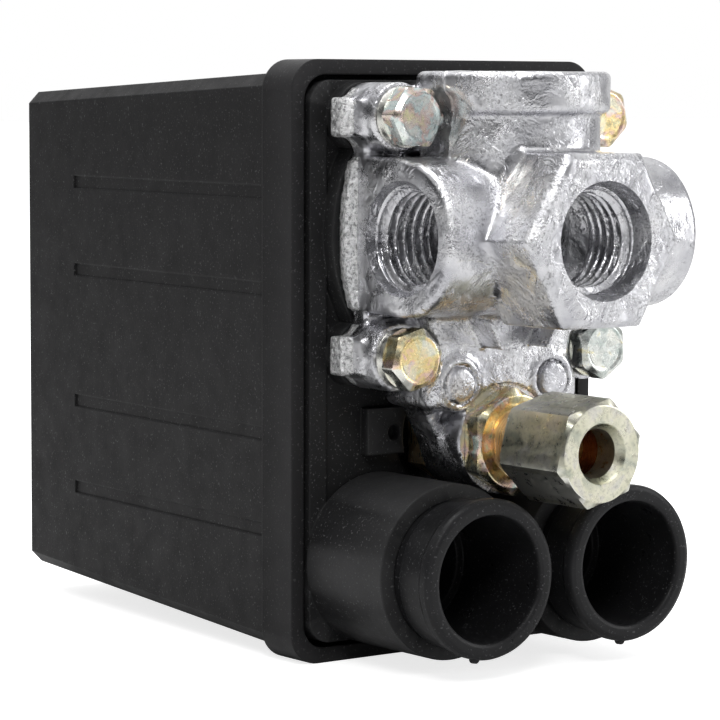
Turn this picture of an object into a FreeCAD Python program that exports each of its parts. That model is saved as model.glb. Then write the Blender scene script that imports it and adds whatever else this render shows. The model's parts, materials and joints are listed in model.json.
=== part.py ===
import FreeCAD, Part
import math
import os

# Pressure switch with a four-port die-cast manifold. Millimetres, +Z up.
# Origin: on the main port's axis, where its thread begins.
# -Y points out of the main port, +Y runs back into the cover, X is across.

V = FreeCAD.Vector
AXIS_X = V(1, 0, 0)
AXIS_Y = V(0, 1, 0)
AXIS_Z = V(0, 0, 1)

# ---- driving dimensions ----
COVER_W = 48.6            # over the rim
COVER_TOP = 21.8          # rim's top edge above the main axis
COVER_BOTTOM = -53.6      # rim's bottom edge
RIM_Y = 28.3              # front plane of the rim
RIM_DEPTH = 6.4
RIM_PROUD_X = 0.3         # how far the rim stands proud of the sides
RIM_PROUD_Z = 1.7         # and of the top and bottom
COVER_END_Y = 100.0
DRAFT_X = math.radians(3.75)
DRAFT_Z = math.radians(2.2)
COVER_WALL = 1.9
GROOVE_OFFSETS = (-21.2, -9.1, 9.1, 21.2)
LONG_CHAMFER = 1.6
RIM_RADIUS = 4.0
MOUTH_RADIUS = 3.2

THREAD_R = 6.58           # major radius of the G 1/4 thread
MOUTH_R = 7.0             # countersink at the side and top ports
MAIN_MOUTH_R = 7.2
COUNTERSINK = 0.9
HEX_FACE_Y = -2.6         # face of the hexagon around the main port
HEX_AF = 21.0
HEX_LENGTH = 12.1
BARREL_R = 10.4
PORT_Y = 15.1             # plane of the other three port axes
SIDE_BOSS_R = 9.6
LEFT_FACE_X = -17.3
RIGHT_FACE_X = 22.6
NECK_R = 11.0
COLLAR_R = 12.0
COLLAR_Z = 15.2
TOP_FACE_Z = 20.3

FLANGE_HALF_X = 17.3
FLANGE_HALF_Z = 18.9
FLANGE_FRONT_Y = 22.6
FLANGE_BACK_Y = 25.8
BOLT_X = 15.0
BOLT_Z = 14.75
BOLT_R = 1.95             # M4
BOLT_AF = 7.0
BOLT_CLEARANCE = 0.2
HEAD_FRONT_Y = 14.5
HEAD_SEAT_Y = 17.1
HEAD_ROOM = 4.0           # depth of the spot face in front of a head
EAR_SEAT_Y = 18.4
EAR_R = 4.6
EAR_TAB_X = 20.4
EAR_TAB_HEIGHT = 5.1
LEG_FRONT_Y = 20.3
LEG_BACK_Y = 25.3

VALVE_Z = -25.7           # axis of the unloader valve
VALVE_AF = 12.0
TUBE_BORE_R = 3.05        # takes a 6 mm tube
TUBE_END_Y = 10.0
FERRULE_FRONT_Y = 2.2
FERRULE_BACK_Y = 5.0
VALVE_NECK_R = 4.6
VALVE_NECK_Y = 7.4        # where the room for a spanner begins
VALVE_HEX_Y = 13.8
VALVE_SEAT_Y = 16.8
VALVE_SHANK_R = 4.05
UNLOADER_HEAD_Y = 18.0
UNLOADER_STEM_R = 1.0
LOCK_NUT_POCKET_R = 7.6
LOCK_NUT_POCKET_Y = 31.4

SOCKET_X = 11.3           # the two cable entries
SOCKET_Z = -40.9
SOCKET_R = 10.9
SOCKET_FRONT_Y = 12.8
SLEEVE_FRONT_Y = 5.0
SLEEVE_R = 9.85
SLEEVE_BORE_R = 7.75
PLUG_R = 8.75
PLUG_END_Y = 30.8
CABLE_R = 6.6

BASE_BORDER_Y = 28.0      # raised border around the base
BASE_FACE_Y = 28.9        # recessed front face of the base
BASE_BACK_Y = 33.5
BASE_BORDER = 2.6
COLLAR_FACE_Y = 26.1
COLLAR_OUTER_R = 19.7
DIAPHRAGM_R = 13.2
DIAPHRAGM_T = 1.4
PUSHER_DISC_R = 9.3

FRAME_T = 1.6
FRAME_ARM_X = 14.9
FRAME_BRIDGE_Y = 84.0
FRAME_ARM_LOW_Z = -6.0
FRAME_ARM_HIGH_Z = 14.0
EARTH_X = 9.4
EARTH_Z = -15.2

PIVOT_Y = 43.0
PIVOT_Z = 11.0
PIN_R = 1.5
LEVER_FRONT_Y = 40.2
LEVER_HALF_X = 6.0
LEVER_TIP_Z = -30.0

SPRING_MEAN_R = 6.4
SPRING_WIRE_R = 0.85
SPRING_START_Y = 42.0
SEAT_Y = 70.0
SEAT_T = 3.0
SCREW_R = 2.9
SCREW_GROOVE_R = 2.4
CLIP_Y = 82.5
CLIP_T = 0.8
SMALL_SCREW_R = 1.4

BLOCK_FRONT_Y = 52.0
BLOCK_BACK_Y = 64.0
CONTACT_ROWS_Z = (-17.5, -32.5)
CONTACT_X = 8.6
TERMINAL_X = 14.0
CONTACT_R = 1.7
STRIP_T = 0.8
BRIDGE_Y = 65.75          # front of the moving contacts at rest
CARRIER_PLATE_Y = 69.4

KNOB_Z = -16.0
KNOB_R = 9.0
KNOB_HOLE_R = 3.6
KNOB_SHAFT_R = 2.5
KNOB_SHAFT_PAST = 5.0
KNOB_GROOVE_R = 2.0
KNOB_CLIP_Y = 94.5
KNOB_CLIP_T = 0.7
POST_Z = 10.5
POST_STUD_R = 1.55
COVER_SCREW_R = 1.25
COVER_SCREW_HOLE_R = 1.8

RUNNING_GAP = 0.05        # radial gap of a shaft in its bore
CLOSE_GAP = 0.1           # gap between faces that nearly touch
GAP = 0.3                 # gap between pieces that don't touch
OVERLAP = 1.0             # how far joined solids and cutters run into each other
FLAT = 0.01               # smallest length that counts

SIDES = (-1, 1)
BOLT_CENTRES = [(side * BOLT_X, level * BOLT_Z) for side in SIDES for level in SIDES]
HEAD_TURNS = (14, 56, 32, 41)      # degrees, as the bolts happen to have been tightened
TERMINAL_CENTRES = [(side * TERMINAL_X, z) for side in SIDES for z in CONTACT_ROWS_Z]


# ---- helpers ----
def box(x0, x1, y0, y1, z0, z1):
    return Part.makeBox(x1 - x0, y1 - y0, z1 - z0, V(x0, y0, z0))


def rod_x(radius, x0, x1, y, z):
    return Part.makeCylinder(radius, x1 - x0, V(x0, y, z), AXIS_X)


def rod_y(radius, y0, y1, x=0.0, z=0.0):
    return Part.makeCylinder(radius, y1 - y0, V(x, y0, z), AXIS_Y)


def rod_z(radius, z0, z1, x, y):
    return Part.makeCylinder(radius, z1 - z0, V(x, y, z0), AXIS_Z)


def cone_y(radius_0, radius_1, y0, y1, x=0.0, z=0.0):
    return Part.makeCone(radius_0, radius_1, y1 - y0, V(x, y0, z), AXIS_Y)


def prism_y(points, y0, y1):
    """Closed outline of (x, z) points, extruded from y0 to y1."""
    corners = [V(x, y0, z) for x, z in points]
    face = Part.Face(Part.makePolygon(corners + corners[:1]))
    return face.extrude(V(0, y1 - y0, 0))


def hexagon_y(across_flats, y0, y1, x=0.0, z=0.0, turn=0.0):
    """Hexagonal prism along Y; turn is the angle of its first corner from +X."""
    radius = across_flats / math.sqrt(3)
    angles = [math.radians(60 * i + turn) for i in range(6)]
    return prism_y([(x + radius * math.cos(a), z + radius * math.sin(a)) for a in angles], y0, y1)


def bevelled_hexagon(across_flats, y0, y1, x=0.0, z=0.0, turn=0.0):
    """Hexagon whose corners are turned off by a 30 degree cone at the y0 end."""
    past = across_flats / math.sqrt(3) + OVERLAP
    face_r = across_flats / 2 - 0.15
    reach = (past - face_r) * math.tan(math.radians(30))
    turned = cone_y(face_r, past, y0, y0 + reach, x, z).fuse(rod_y(past, y0 + reach, y1, x, z))
    return hexagon_y(across_flats, y0, y1, x, z, turn).common(turned)


def rounded_box_y(half_x, z0, z1, y0, y1, radius, centre_x=0.0):
    """Box with its four edges along Y rounded."""
    block = box(centre_x - half_x, centre_x + half_x, y0, y1, z0, z1)
    edges = [e for e in block.Edges if e.BoundBox.YLength > FLAT]
    return block.makeFillet(radius, edges)


def edges_at_y(shape, y):
    """The edges that lie in one plane across Y."""
    return [e for e in shape.Edges if abs(e.BoundBox.YMin - y) < FLAT and abs(e.BoundBox.YMax - y) < FLAT]


def union(shapes):
    result = shapes[0].multiFuse(shapes[1:]) if len(shapes) > 1 else shapes[0]
    return result.removeSplitter()


def mirror_x(shape):
    return shape.mirror(V(0, 0, 0), AXIS_X)


def coil_y(mean_r, wire_r, y0, y1, turns, x=0.0, z=0.0):
    """Compression spring along Y between two planes."""
    start = y0 + wire_r
    height = (y1 - wire_r) - start
    helix = Part.makeHelix(height / turns, height, mean_r)
    circle = Part.Circle(V(mean_r, 0, 0), AXIS_Y, wire_r).toShape()
    wire = Part.Wire(helix)
    sweep = Part.BRepOffsetAPI.MakePipeShell(wire)
    sweep.setFrenetMode(True)
    sweep.add(Part.Wire(circle))
    sweep.build()
    sweep.makeSolid()
    spring = sweep.shape()
    spring.rotate(V(0, 0, 0), AXIS_X, -90)
    spring.translate(V(x, start, z))
    return spring


def chamfered_section(y, inset, chamfer):
    """Octagonal section of the cover at depth y; inset is how far its sides and its top have come in."""
    x = COVER_W / 2 - inset[0]
    top = COVER_TOP - inset[1]
    bottom = COVER_BOTTOM + inset[1]
    outline = [(x, bottom + chamfer), (x, top - chamfer), (x - chamfer, top), (chamfer - x, top),
               (-x, top - chamfer), (-x, bottom + chamfer), (chamfer - x, bottom), (x - chamfer, bottom)]
    corners = [V(px, y, pz) for px, pz in outline]
    return Part.makePolygon(corners + corners[:1])


def wall_inset(y, extra=0.0):
    """How far the drafted sides and the drafted top have come in at depth y."""
    reach = max(0.0, y - RIM_Y - RIM_DEPTH)
    return (RIM_PROUD_X + reach * math.tan(DRAFT_X) + extra, RIM_PROUD_Z + reach * math.tan(DRAFT_Z) + extra)


# ---- cover ----
def cover():
    rim_back = RIM_Y + RIM_DEPTH
    bevel_y = COVER_END_Y - LONG_CHAMFER
    inner_end = COVER_END_Y - COVER_WALL
    rim = rounded_box_y(COVER_W / 2, COVER_BOTTOM, COVER_TOP, RIM_Y, rim_back, RIM_RADIUS)
    shell = Part.makeLoft([
        chamfered_section(rim_back - OVERLAP, wall_inset(rim_back), LONG_CHAMFER),
        chamfered_section(rim_back, wall_inset(rim_back), LONG_CHAMFER),
        chamfered_section(bevel_y, wall_inset(bevel_y), LONG_CHAMFER),
        chamfered_section(COVER_END_Y, wall_inset(bevel_y, LONG_CHAMFER), LONG_CHAMFER / 2)], True, True)
    mouth = rounded_box_y(COVER_W / 2 - COVER_WALL, COVER_BOTTOM + COVER_WALL, COVER_TOP - COVER_WALL,
                          RIM_Y - OVERLAP, BASE_BACK_Y + CLOSE_GAP, MOUTH_RADIUS)
    cavity = Part.makeLoft([
        chamfered_section(BASE_BACK_Y, wall_inset(BASE_BACK_Y, COVER_WALL), LONG_CHAMFER),
        chamfered_section(rim_back, wall_inset(rim_back, COVER_WALL), LONG_CHAMFER),
        chamfered_section(inner_end, wall_inset(inner_end, COVER_WALL), LONG_CHAMFER)], True, True)
    knob_hole = rod_y(KNOB_HOLE_R, inner_end - OVERLAP, COVER_END_Y + OVERLAP, 0.0, KNOB_Z)
    screw_hole = rod_y(COVER_SCREW_HOLE_R, inner_end - OVERLAP, COVER_END_Y + OVERLAP, 0.0, POST_Z)
    return rim.fuse(shell).cut([mouth, cavity, knob_hole, screw_hole] + side_grooves()).removeSplitter()


def side_grooves():
    """Four shallow grooves on each side, from the rim to a little short of the far end."""
    depth = 0.25
    half_height = 0.85
    near_y = RIM_Y + RIM_DEPTH
    far_y = COVER_END_Y - 15.0
    near_x = COVER_W / 2 - wall_inset(near_y)[0]
    far_x = COVER_W / 2 - wall_inset(far_y)[0]
    middle = (COVER_TOP + COVER_BOTTOM) / 2
    grooves = []
    for offset in GROOVE_OFFSETS:
        low = middle + offset - half_height
        corners = [V(near_x - depth, near_y, low), V(near_x + OVERLAP, near_y, low),
                   V(far_x + OVERLAP, far_y, low), V(far_x - depth, far_y, low)]
        groove = Part.Face(Part.makePolygon(corners + corners[:1])).extrude(V(0, 0, 2 * half_height))
        grooves += [groove, mirror_x(groove)]
    return grooves


# ---- base ----
def base_plate():
    side_gap = 0.65
    corner_r = 3.2
    recess_corner_r = 2.0
    pad_r = 4.2
    half_x = COVER_W / 2 - COVER_WALL - side_gap
    low = COVER_BOTTOM + COVER_WALL + side_gap
    high = COVER_TOP - COVER_WALL - side_gap
    before = COLLAR_FACE_Y - OVERLAP
    behind = BASE_BACK_Y + OVERLAP
    plate = rounded_box_y(half_x, low, high, BASE_BORDER_Y, BASE_BACK_Y, corner_r)
    recess = rounded_box_y(half_x - BASE_BORDER, SOCKET_Z, high - BASE_BORDER, BASE_BORDER_Y - OVERLAP,
                           BASE_FACE_Y, recess_corner_r)
    collar = rod_y(COLLAR_OUTER_R, COLLAR_FACE_Y, BASE_BACK_Y).common(
        box(-half_x, half_x, COLLAR_FACE_Y, BASE_BACK_Y, low, high - GAP))
    pads = [rod_y(pad_r, COLLAR_FACE_Y, BASE_BACK_Y, x, z) for x, z in BOLT_CENTRES]
    holes = [rod_y(DIAPHRAGM_R + CLOSE_GAP, before, FLANGE_BACK_Y + DIAPHRAGM_T),
             rod_y(PUSHER_DISC_R + GAP, before, behind),
             rod_y(LOCK_NUT_POCKET_R, before, LOCK_NUT_POCKET_Y, 0.0, VALVE_Z),
             rod_y(UNLOADER_STEM_R + GAP, before, behind, 0.0, VALVE_Z)]
    holes += [rod_y(BOLT_R + BOLT_CLEARANCE, before, behind, x, z) for x, z in BOLT_CENTRES]
    body = union([plate.cut(recess), collar, tie_lug()] + pads + cable_sockets())
    return body.cut(holes + socket_bores())


def tie_lug():
    """Small block with a hole, beside the unloader valve."""
    left = -13.1
    right = -6.0
    low = -27.8
    high = -21.9
    face_y = 27.4
    hole_r = 0.95
    hole_x = -9.0
    hole_z = -25.1
    block = box(left, right, face_y, BASE_FACE_Y + OVERLAP, low, high)
    return block.cut(rod_y(hole_r, face_y - OVERLAP, BASE_FACE_Y, hole_x, hole_z))


def cable_sockets():
    """Two large round sockets, joined by a web."""
    web_half = 3.0
    web_below = 6.5
    web_above = 4.5
    web_setback = 4.0
    inner_step = 0.6
    tubes = []
    for side in SIDES:
        x = side * SOCKET_X
        tubes.append(rod_y(SOCKET_R, SOCKET_FRONT_Y, BASE_BORDER_Y, x, SOCKET_Z))
        tubes.append(rod_y(SOCKET_R - inner_step, BASE_BORDER_Y - OVERLAP, BASE_BACK_Y, x, SOCKET_Z))
    web = box(-web_half, web_half, SOCKET_FRONT_Y + web_setback, BASE_BACK_Y,
              SOCKET_Z - web_below, SOCKET_Z + web_above)
    return tubes + [web]


def socket_bores():
    bores = []
    for side in SIDES:
        x = side * SOCKET_X
        bores.append(rod_y(PLUG_R + RUNNING_GAP, SOCKET_FRONT_Y - OVERLAP, PLUG_END_Y + RUNNING_GAP,
                           x, SOCKET_Z))
        bores.append(rod_y(CABLE_R, PLUG_END_Y - OVERLAP, BASE_BACK_Y + OVERLAP, x, SOCKET_Z))
    return bores


def cable_sleeve(side):
    """Flared sleeve seated in one of the sockets."""
    lip = 1.6
    lip_round = 0.6
    taper = 0.5
    undercut = 0.1
    neck_length = 1.4
    wide_bore_end = 20.0
    x = side * SOCKET_X
    neck_y = SOCKET_FRONT_Y - neck_length
    lip_back = SLEEVE_FRONT_Y + lip
    plug = rod_y(PLUG_R, neck_y - OVERLAP, PLUG_END_Y, x, SOCKET_Z)
    barrel = cone_y(SLEEVE_R - undercut, SLEEVE_R - undercut - taper, lip_back, neck_y, x, SOCKET_Z)
    rim = rod_y(SLEEVE_R, SLEEVE_FRONT_Y, lip_back, x, SOCKET_Z)
    rim = rim.makeFillet(lip_round, edges_at_y(rim, SLEEVE_FRONT_Y))
    wide_bore = rod_y(SLEEVE_BORE_R, SLEEVE_FRONT_Y - OVERLAP, wide_bore_end, x, SOCKET_Z)
    narrow_bore = rod_y(CABLE_R, wide_bore_end - OVERLAP, PLUG_END_Y + OVERLAP, x, SOCKET_Z)
    return union([plug, barrel, rim]).cut([wide_bore, narrow_bore])


# ---- manifold ----
def manifold():
    solids = [hexagon_y(HEX_AF, HEX_FACE_Y, HEX_FACE_Y + HEX_LENGTH),
              rod_y(BARREL_R, HEX_FACE_Y + OVERLAP, FLANGE_BACK_Y),
              side_port_bosses(), top_port(), flange(), valve_leg()] + ears()
    return union(solids).cut(manifold_bores() + manifold_seats())


def side_port_bosses():
    """Cross barrel of the two side ports; its left end is squared off towards the flange."""
    edge_round = 1.0
    half_height = 9.4
    cross = rod_x(SIDE_BOSS_R, LEFT_FACE_X, RIGHT_FACE_X, PORT_Y, 0.0)
    cross = cross.makeFillet(edge_round, [e for e in cross.Edges if e.BoundBox.XLength < FLAT])
    back = box(LEFT_FACE_X, -LEFT_FACE_X, PORT_Y, FLANGE_BACK_Y, -half_height, half_height)
    return cross.fuse(back)


def top_port():
    edge_round = 0.8
    top = COLLAR_Z + OVERLAP
    neck = rod_z(NECK_R, 0.0, top, 0.0, PORT_Y)
    collar = rod_z(COLLAR_R, COLLAR_Z, TOP_FACE_Z, 0.0, PORT_Y)
    collar = collar.makeFillet(edge_round, [e for e in collar.Edges if e.BoundBox.ZLength < FLAT])
    before_flange = box(-COLLAR_R, COLLAR_R, PORT_Y - COLLAR_R, FLANGE_BACK_Y, 0.0, TOP_FACE_Z)
    return neck.fuse(collar).common(before_flange)


def flange():
    corner_r = 4.5
    return rounded_box_y(FLANGE_HALF_X, -FLANGE_HALF_Z, FLANGE_HALF_Z,
                         FLANGE_FRONT_Y, FLANGE_BACK_Y, corner_r)


def ears():
    """Round boss under each bolt head, with a tab that reaches past the flange and a web to the body."""
    tab_front = 23.0
    tab_half = EAR_TAB_HEIGHT / 2
    web_inner_x = 8.0
    web_half = 3.0
    web_setback = 1.5
    shapes = []
    for x, z in BOLT_CENTRES:
        side = math.copysign(1.0, x)
        tab_left, tab_right = sorted((x, side * EAR_TAB_X))
        web_left, web_right = sorted((side * web_inner_x, x))
        shapes.append(rod_y(EAR_R, EAR_SEAT_Y, FLANGE_BACK_Y, x, z))
        shapes.append(box(tab_left, tab_right, tab_front, FLANGE_BACK_Y, z - tab_half, z + tab_half))
        shapes.append(box(web_left, web_right, EAR_SEAT_Y + web_setback, FLANGE_BACK_Y,
                          z - web_half, z + web_half))
    return shapes


def valve_leg():
    """Thick pad between the lower ears and the V-shaped leg that holds the unloader valve."""
    pad_half = 12.2
    pad_front = 16.2
    pad_low = -21.0
    pad_high = -8.0
    leg_top = -17.0
    shoulder = -19.4
    tip = -30.4
    top_half = 11.2
    shoulder_half = 10.9
    tip_half = 4.6
    button_r = 2.5
    button_x = 7.5
    button_z = -18.3
    button_proud = 0.5
    valve_collar_r = 6.8
    right_side = [(tip_half, tip), (shoulder_half, shoulder), (top_half, leg_top)]
    left_side = [(-x, z) for x, z in reversed(right_side)]
    pad = box(-pad_half, pad_half, pad_front, FLANGE_BACK_Y, pad_low, pad_high)
    leg = prism_y(left_side + right_side, LEG_FRONT_Y, LEG_BACK_Y)
    buttons = [rod_y(button_r, pad_front - button_proud, pad_front + OVERLAP, side * button_x, button_z)
               for side in SIDES]
    collar = rod_y(valve_collar_r, VALVE_SEAT_Y, LEG_BACK_Y, 0.0, VALVE_Z)
    return union([pad, leg, collar] + buttons)


def manifold_bores():
    """Four threaded ports, the passages that join them, and the chamber under the diaphragm."""
    main_depth = 11.0
    side_depth = 10.0
    passage_r = 4.0
    chamber_depth = 1.5
    seat_width = 3.0
    before = HEX_FACE_Y - FLAT
    behind = FLANGE_BACK_Y + OVERLAP
    right_start = RIGHT_FACE_X - COUNTERSINK
    top_start = TOP_FACE_Z - COUNTERSINK
    return [rod_y(THREAD_R, HEX_FACE_Y, main_depth),
            cone_y(MAIN_MOUTH_R, THREAD_R, before, 0.0),
            rod_x(THREAD_R, LEFT_FACE_X - OVERLAP, LEFT_FACE_X + side_depth, PORT_Y, 0.0),
            Part.makeCone(MOUTH_R, THREAD_R, COUNTERSINK, V(LEFT_FACE_X, PORT_Y, 0), AXIS_X),
            rod_x(THREAD_R, RIGHT_FACE_X - side_depth, RIGHT_FACE_X + OVERLAP, PORT_Y, 0.0),
            Part.makeCone(THREAD_R, MOUTH_R, COUNTERSINK, V(right_start, PORT_Y, 0), AXIS_X),
            rod_z(THREAD_R, TOP_FACE_Z - side_depth, TOP_FACE_Z + OVERLAP, 0.0, PORT_Y),
            Part.makeCone(THREAD_R, MOUTH_R, COUNTERSINK, V(0, PORT_Y, top_start), AXIS_Z),
            rod_x(passage_r, LEFT_FACE_X + side_depth / 2, RIGHT_FACE_X - side_depth / 2, PORT_Y, 0.0),
            rod_z(passage_r, 0.0, TOP_FACE_Z - side_depth / 2, 0.0, PORT_Y),
            rod_y(passage_r, main_depth / 2, behind),
            rod_y(DIAPHRAGM_R - seat_width, FLANGE_BACK_Y - chamber_depth, behind)]


def manifold_seats():
    """Spot faces and holes for the four bolts and the unloader valve."""
    valve_seat_r = 7.2
    behind = FLANGE_BACK_Y + OVERLAP
    cuts = [rod_y(VALVE_SHANK_R + RUNNING_GAP, PORT_Y, behind, 0.0, VALVE_Z),
            rod_y(valve_seat_r, VALVE_NECK_Y, VALVE_SEAT_Y, 0.0, VALVE_Z),
            rod_y(valve_seat_r, LEG_BACK_Y, behind, 0.0, VALVE_Z)]
    for x, z in BOLT_CENTRES:
        cuts.append(rod_y(EAR_R + BOLT_CLEARANCE, HEAD_FRONT_Y - HEAD_ROOM, EAR_SEAT_Y, x, z))
        cuts.append(rod_y(BOLT_R + BOLT_CLEARANCE, EAR_SEAT_Y - OVERLAP, behind, x, z))
    return cuts


def diaphragm():
    dimple_r = 8.0
    dimple_depth = 0.5
    disc = rod_y(DIAPHRAGM_R, FLANGE_BACK_Y, FLANGE_BACK_Y + DIAPHRAGM_T)
    return disc.cut(rod_y(dimple_r, FLANGE_BACK_Y - OVERLAP, FLANGE_BACK_Y + dimple_depth))


def flange_bolts():
    tip_past_frame = 0.6
    tip_y = BASE_BACK_Y + FRAME_T + tip_past_frame
    solids = []
    for (x, z), corner_angle in zip(BOLT_CENTRES, HEAD_TURNS):
        head = bevelled_hexagon(BOLT_AF, HEAD_FRONT_Y, HEAD_SEAT_Y, x, z, corner_angle)
        shank = rod_y(BOLT_R, HEAD_SEAT_Y - FLAT, tip_y, x, z)
        solids.append(head.fuse(shank).removeSplitter())
    return Part.makeCompound(solids)


def bolt_lock_washers():
    """Split lock washers, each with its narrow slanted gap."""
    outer_r = 3.75
    inner_gap = 0.15
    slot_half = 0.35
    slot_slant = 20
    front = HEAD_SEAT_Y - OVERLAP
    back = EAR_SEAT_Y + OVERLAP
    middle_y = (HEAD_SEAT_Y + EAR_SEAT_Y) / 2
    solids = []
    for x, z in BOLT_CENTRES:
        ring = rod_y(outer_r, HEAD_SEAT_Y, EAR_SEAT_Y, x, z).cut(rod_y(BOLT_R + inner_gap, front, back, x, z))
        slot = box(x - slot_half, x + slot_half, front, back, z, z + outer_r + OVERLAP)
        slot.rotate(V(x, middle_y, z), AXIS_Z, slot_slant)
        solids.append(ring.cut(slot))
    return Part.makeCompound(solids)


# ---- unloader valve ----
def unloader_valve_body():
    mouth_round = 0.5
    shank_end = 30.0
    chamber_r = 2.4
    chamber_start = 15.0
    passage_r = 1.2
    hexagon = bevelled_hexagon(VALVE_AF, VALVE_HEX_Y, VALVE_SEAT_Y, 0.0, VALVE_Z, 90)
    neck = rod_y(VALVE_NECK_R, FERRULE_BACK_Y, VALVE_HEX_Y + OVERLAP / 2, 0.0, VALVE_Z)
    neck = neck.makeFillet(mouth_round, edges_at_y(neck, FERRULE_BACK_Y))
    shank = rod_y(VALVE_SHANK_R, VALVE_SEAT_Y - FLAT, shank_end, 0.0, VALVE_Z)
    tube_seat = rod_y(TUBE_BORE_R, FERRULE_BACK_Y - OVERLAP, TUBE_END_Y, 0.0, VALVE_Z)
    chamber = rod_y(chamber_r, chamber_start, shank_end + OVERLAP, 0.0, VALVE_Z)
    passage = rod_y(passage_r, TUBE_END_Y - OVERLAP, chamber_start + OVERLAP, 0.0, VALVE_Z)
    return union([hexagon, neck, shank]).cut([tube_seat, chamber, passage])


def compression_nut():
    front = -2.1
    back = 9.5
    turn = 13.5
    mouth_r = 3.75
    mouth_end = -1.1
    nut = bevelled_hexagon(VALVE_AF, front, back, 0.0, VALVE_Z, turn)
    return nut.cut([rod_y(VALVE_NECK_R + RUNNING_GAP, FERRULE_FRONT_Y, back + OVERLAP, 0.0, VALVE_Z),
                    rod_y(TUBE_BORE_R, front - OVERLAP, FERRULE_FRONT_Y + OVERLAP, 0.0, VALVE_Z),
                    cone_y(mouth_r, TUBE_BORE_R, front - FLAT, mouth_end, 0.0, VALVE_Z)])


def ferrule():
    """Copper ring squeezed between the nut and the valve body."""
    front_r = 3.5
    middle_r = 4.2
    back_r = 3.4
    middle_y = 3.2
    ring = union([cone_y(front_r, middle_r, FERRULE_FRONT_Y, middle_y, 0.0, VALVE_Z),
                  cone_y(middle_r, back_r, middle_y, FERRULE_BACK_Y, 0.0, VALVE_Z)])
    return ring.cut(rod_y(TUBE_BORE_R, FERRULE_FRONT_Y - OVERLAP, FERRULE_BACK_Y + OVERLAP, 0.0, VALVE_Z))


def unloader_lock_nut():
    end_y = 28.3
    nut = hexagon_y(VALVE_AF, LEG_BACK_Y, end_y, 0.0, VALVE_Z, 90)
    return nut.cut(rod_y(VALVE_SHANK_R, LEG_BACK_Y - OVERLAP, end_y + OVERLAP, 0.0, VALVE_Z))


def unloader_pin():
    head_r = 2.2
    head_t = 1.6
    head = rod_y(head_r, UNLOADER_HEAD_Y, UNLOADER_HEAD_Y + head_t, 0.0, VALVE_Z)
    stem = rod_y(UNLOADER_STEM_R, UNLOADER_HEAD_Y + FLAT, LEVER_FRONT_Y - GAP, 0.0, VALVE_Z)
    return head.fuse(stem).removeSplitter()


def unloader_spring():
    return coil_y(1.75, 0.25, UNLOADER_HEAD_Y + 2.0, UNLOADER_HEAD_Y + 10.0, 6, 0.0, VALVE_Z)


# ---- pressure mechanism ----
def pusher():
    stem_r = 3.0
    disc_back = 30.2
    disc = rod_y(PUSHER_DISC_R, FLANGE_BACK_Y + DIAPHRAGM_T + CLOSE_GAP, disc_back)
    stem = rod_y(stem_r, disc_back - FLAT, LEVER_FRONT_Y - GAP)
    return disc.fuse(stem).removeSplitter()


def spring_frame():
    """Steel bracket: plate behind the base, two arms and a bridge at the far end."""
    plate_half = 19.4
    plate_low = -19.0
    plate_high = 17.9
    corner_r = 3.0
    window_r = 8.0
    front = BASE_BACK_Y - OVERLAP
    back = BASE_BACK_Y + FRAME_T
    arm_out = FRAME_ARM_X + FRAME_T
    end = FRAME_BRIDGE_Y + FRAME_T
    plate = rounded_box_y(plate_half, plate_low, plate_high, BASE_BACK_Y, back, corner_r)
    arm = box(FRAME_ARM_X, arm_out, BASE_BACK_Y, end, FRAME_ARM_LOW_Z, FRAME_ARM_HIGH_Z)
    bridge = box(-arm_out, arm_out, FRAME_BRIDGE_Y, end, FRAME_ARM_LOW_Z, FRAME_ARM_HIGH_Z)
    cuts = [rod_y(window_r, front, back + OVERLAP),
            rod_x(PIN_R + RUNNING_GAP, -plate_half, plate_half, PIVOT_Y, PIVOT_Z),
            rod_y(SCREW_R + RUNNING_GAP, FRAME_BRIDGE_Y - OVERLAP, end + OVERLAP),
            rod_y(POST_STUD_R + RUNNING_GAP, FRAME_BRIDGE_Y - OVERLAP, end + OVERLAP, 0.0, POST_Z)]
    cuts += [rod_y(BOLT_R + RUNNING_GAP, front, back + OVERLAP, x, z) for x, z in BOLT_CENTRES]
    cuts += [rod_y(SMALL_SCREW_R + RUNNING_GAP, front, back + OVERLAP, side * EARTH_X, EARTH_Z)
             for side in SIDES]
    return union([plate, arm, mirror_x(arm), bridge]).cut(cuts)


def lever_pin():
    """Plain pin, headed at both ends outside the frame's arms."""
    head_r = 2.4
    head_t = 0.85
    shaft_past = 0.2
    end_x = FRAME_ARM_X + FRAME_T + RUNNING_GAP
    shaft = rod_x(PIN_R, -end_x - shaft_past, end_x + shaft_past, PIVOT_Y, PIVOT_Z)
    head = rod_x(head_r, end_x, end_x + head_t, PIVOT_Y, PIVOT_Z)
    return union([shaft, head, mirror_x(head)])


def lever():
    """Flat steel lever hung from a knuckle around the pin."""
    knuckle_r = 2.8
    wide_half = 9.0
    wide_low = -9.0
    back = LEVER_FRONT_Y + FRAME_T
    knuckle = rod_x(knuckle_r, GAP - FRAME_ARM_X, FRAME_ARM_X - GAP, PIVOT_Y, PIVOT_Z)
    blade = box(-LEVER_HALF_X, LEVER_HALF_X, LEVER_FRONT_Y, back, LEVER_TIP_Z, PIVOT_Z)
    wide = box(-wide_half, wide_half, LEVER_FRONT_Y, back, wide_low, PIVOT_Z)
    pin_hole = rod_x(PIN_R + RUNNING_GAP, -FRAME_ARM_X, FRAME_ARM_X, PIVOT_Y, PIVOT_Z)
    return union([knuckle, blade, wide]).cut(pin_hole)


def main_spring():
    turns = 8
    return coil_y(SPRING_MEAN_R, SPRING_WIRE_R, SPRING_START_Y + CLOSE_GAP, SEAT_Y - CLOSE_GAP, turns)


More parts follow.
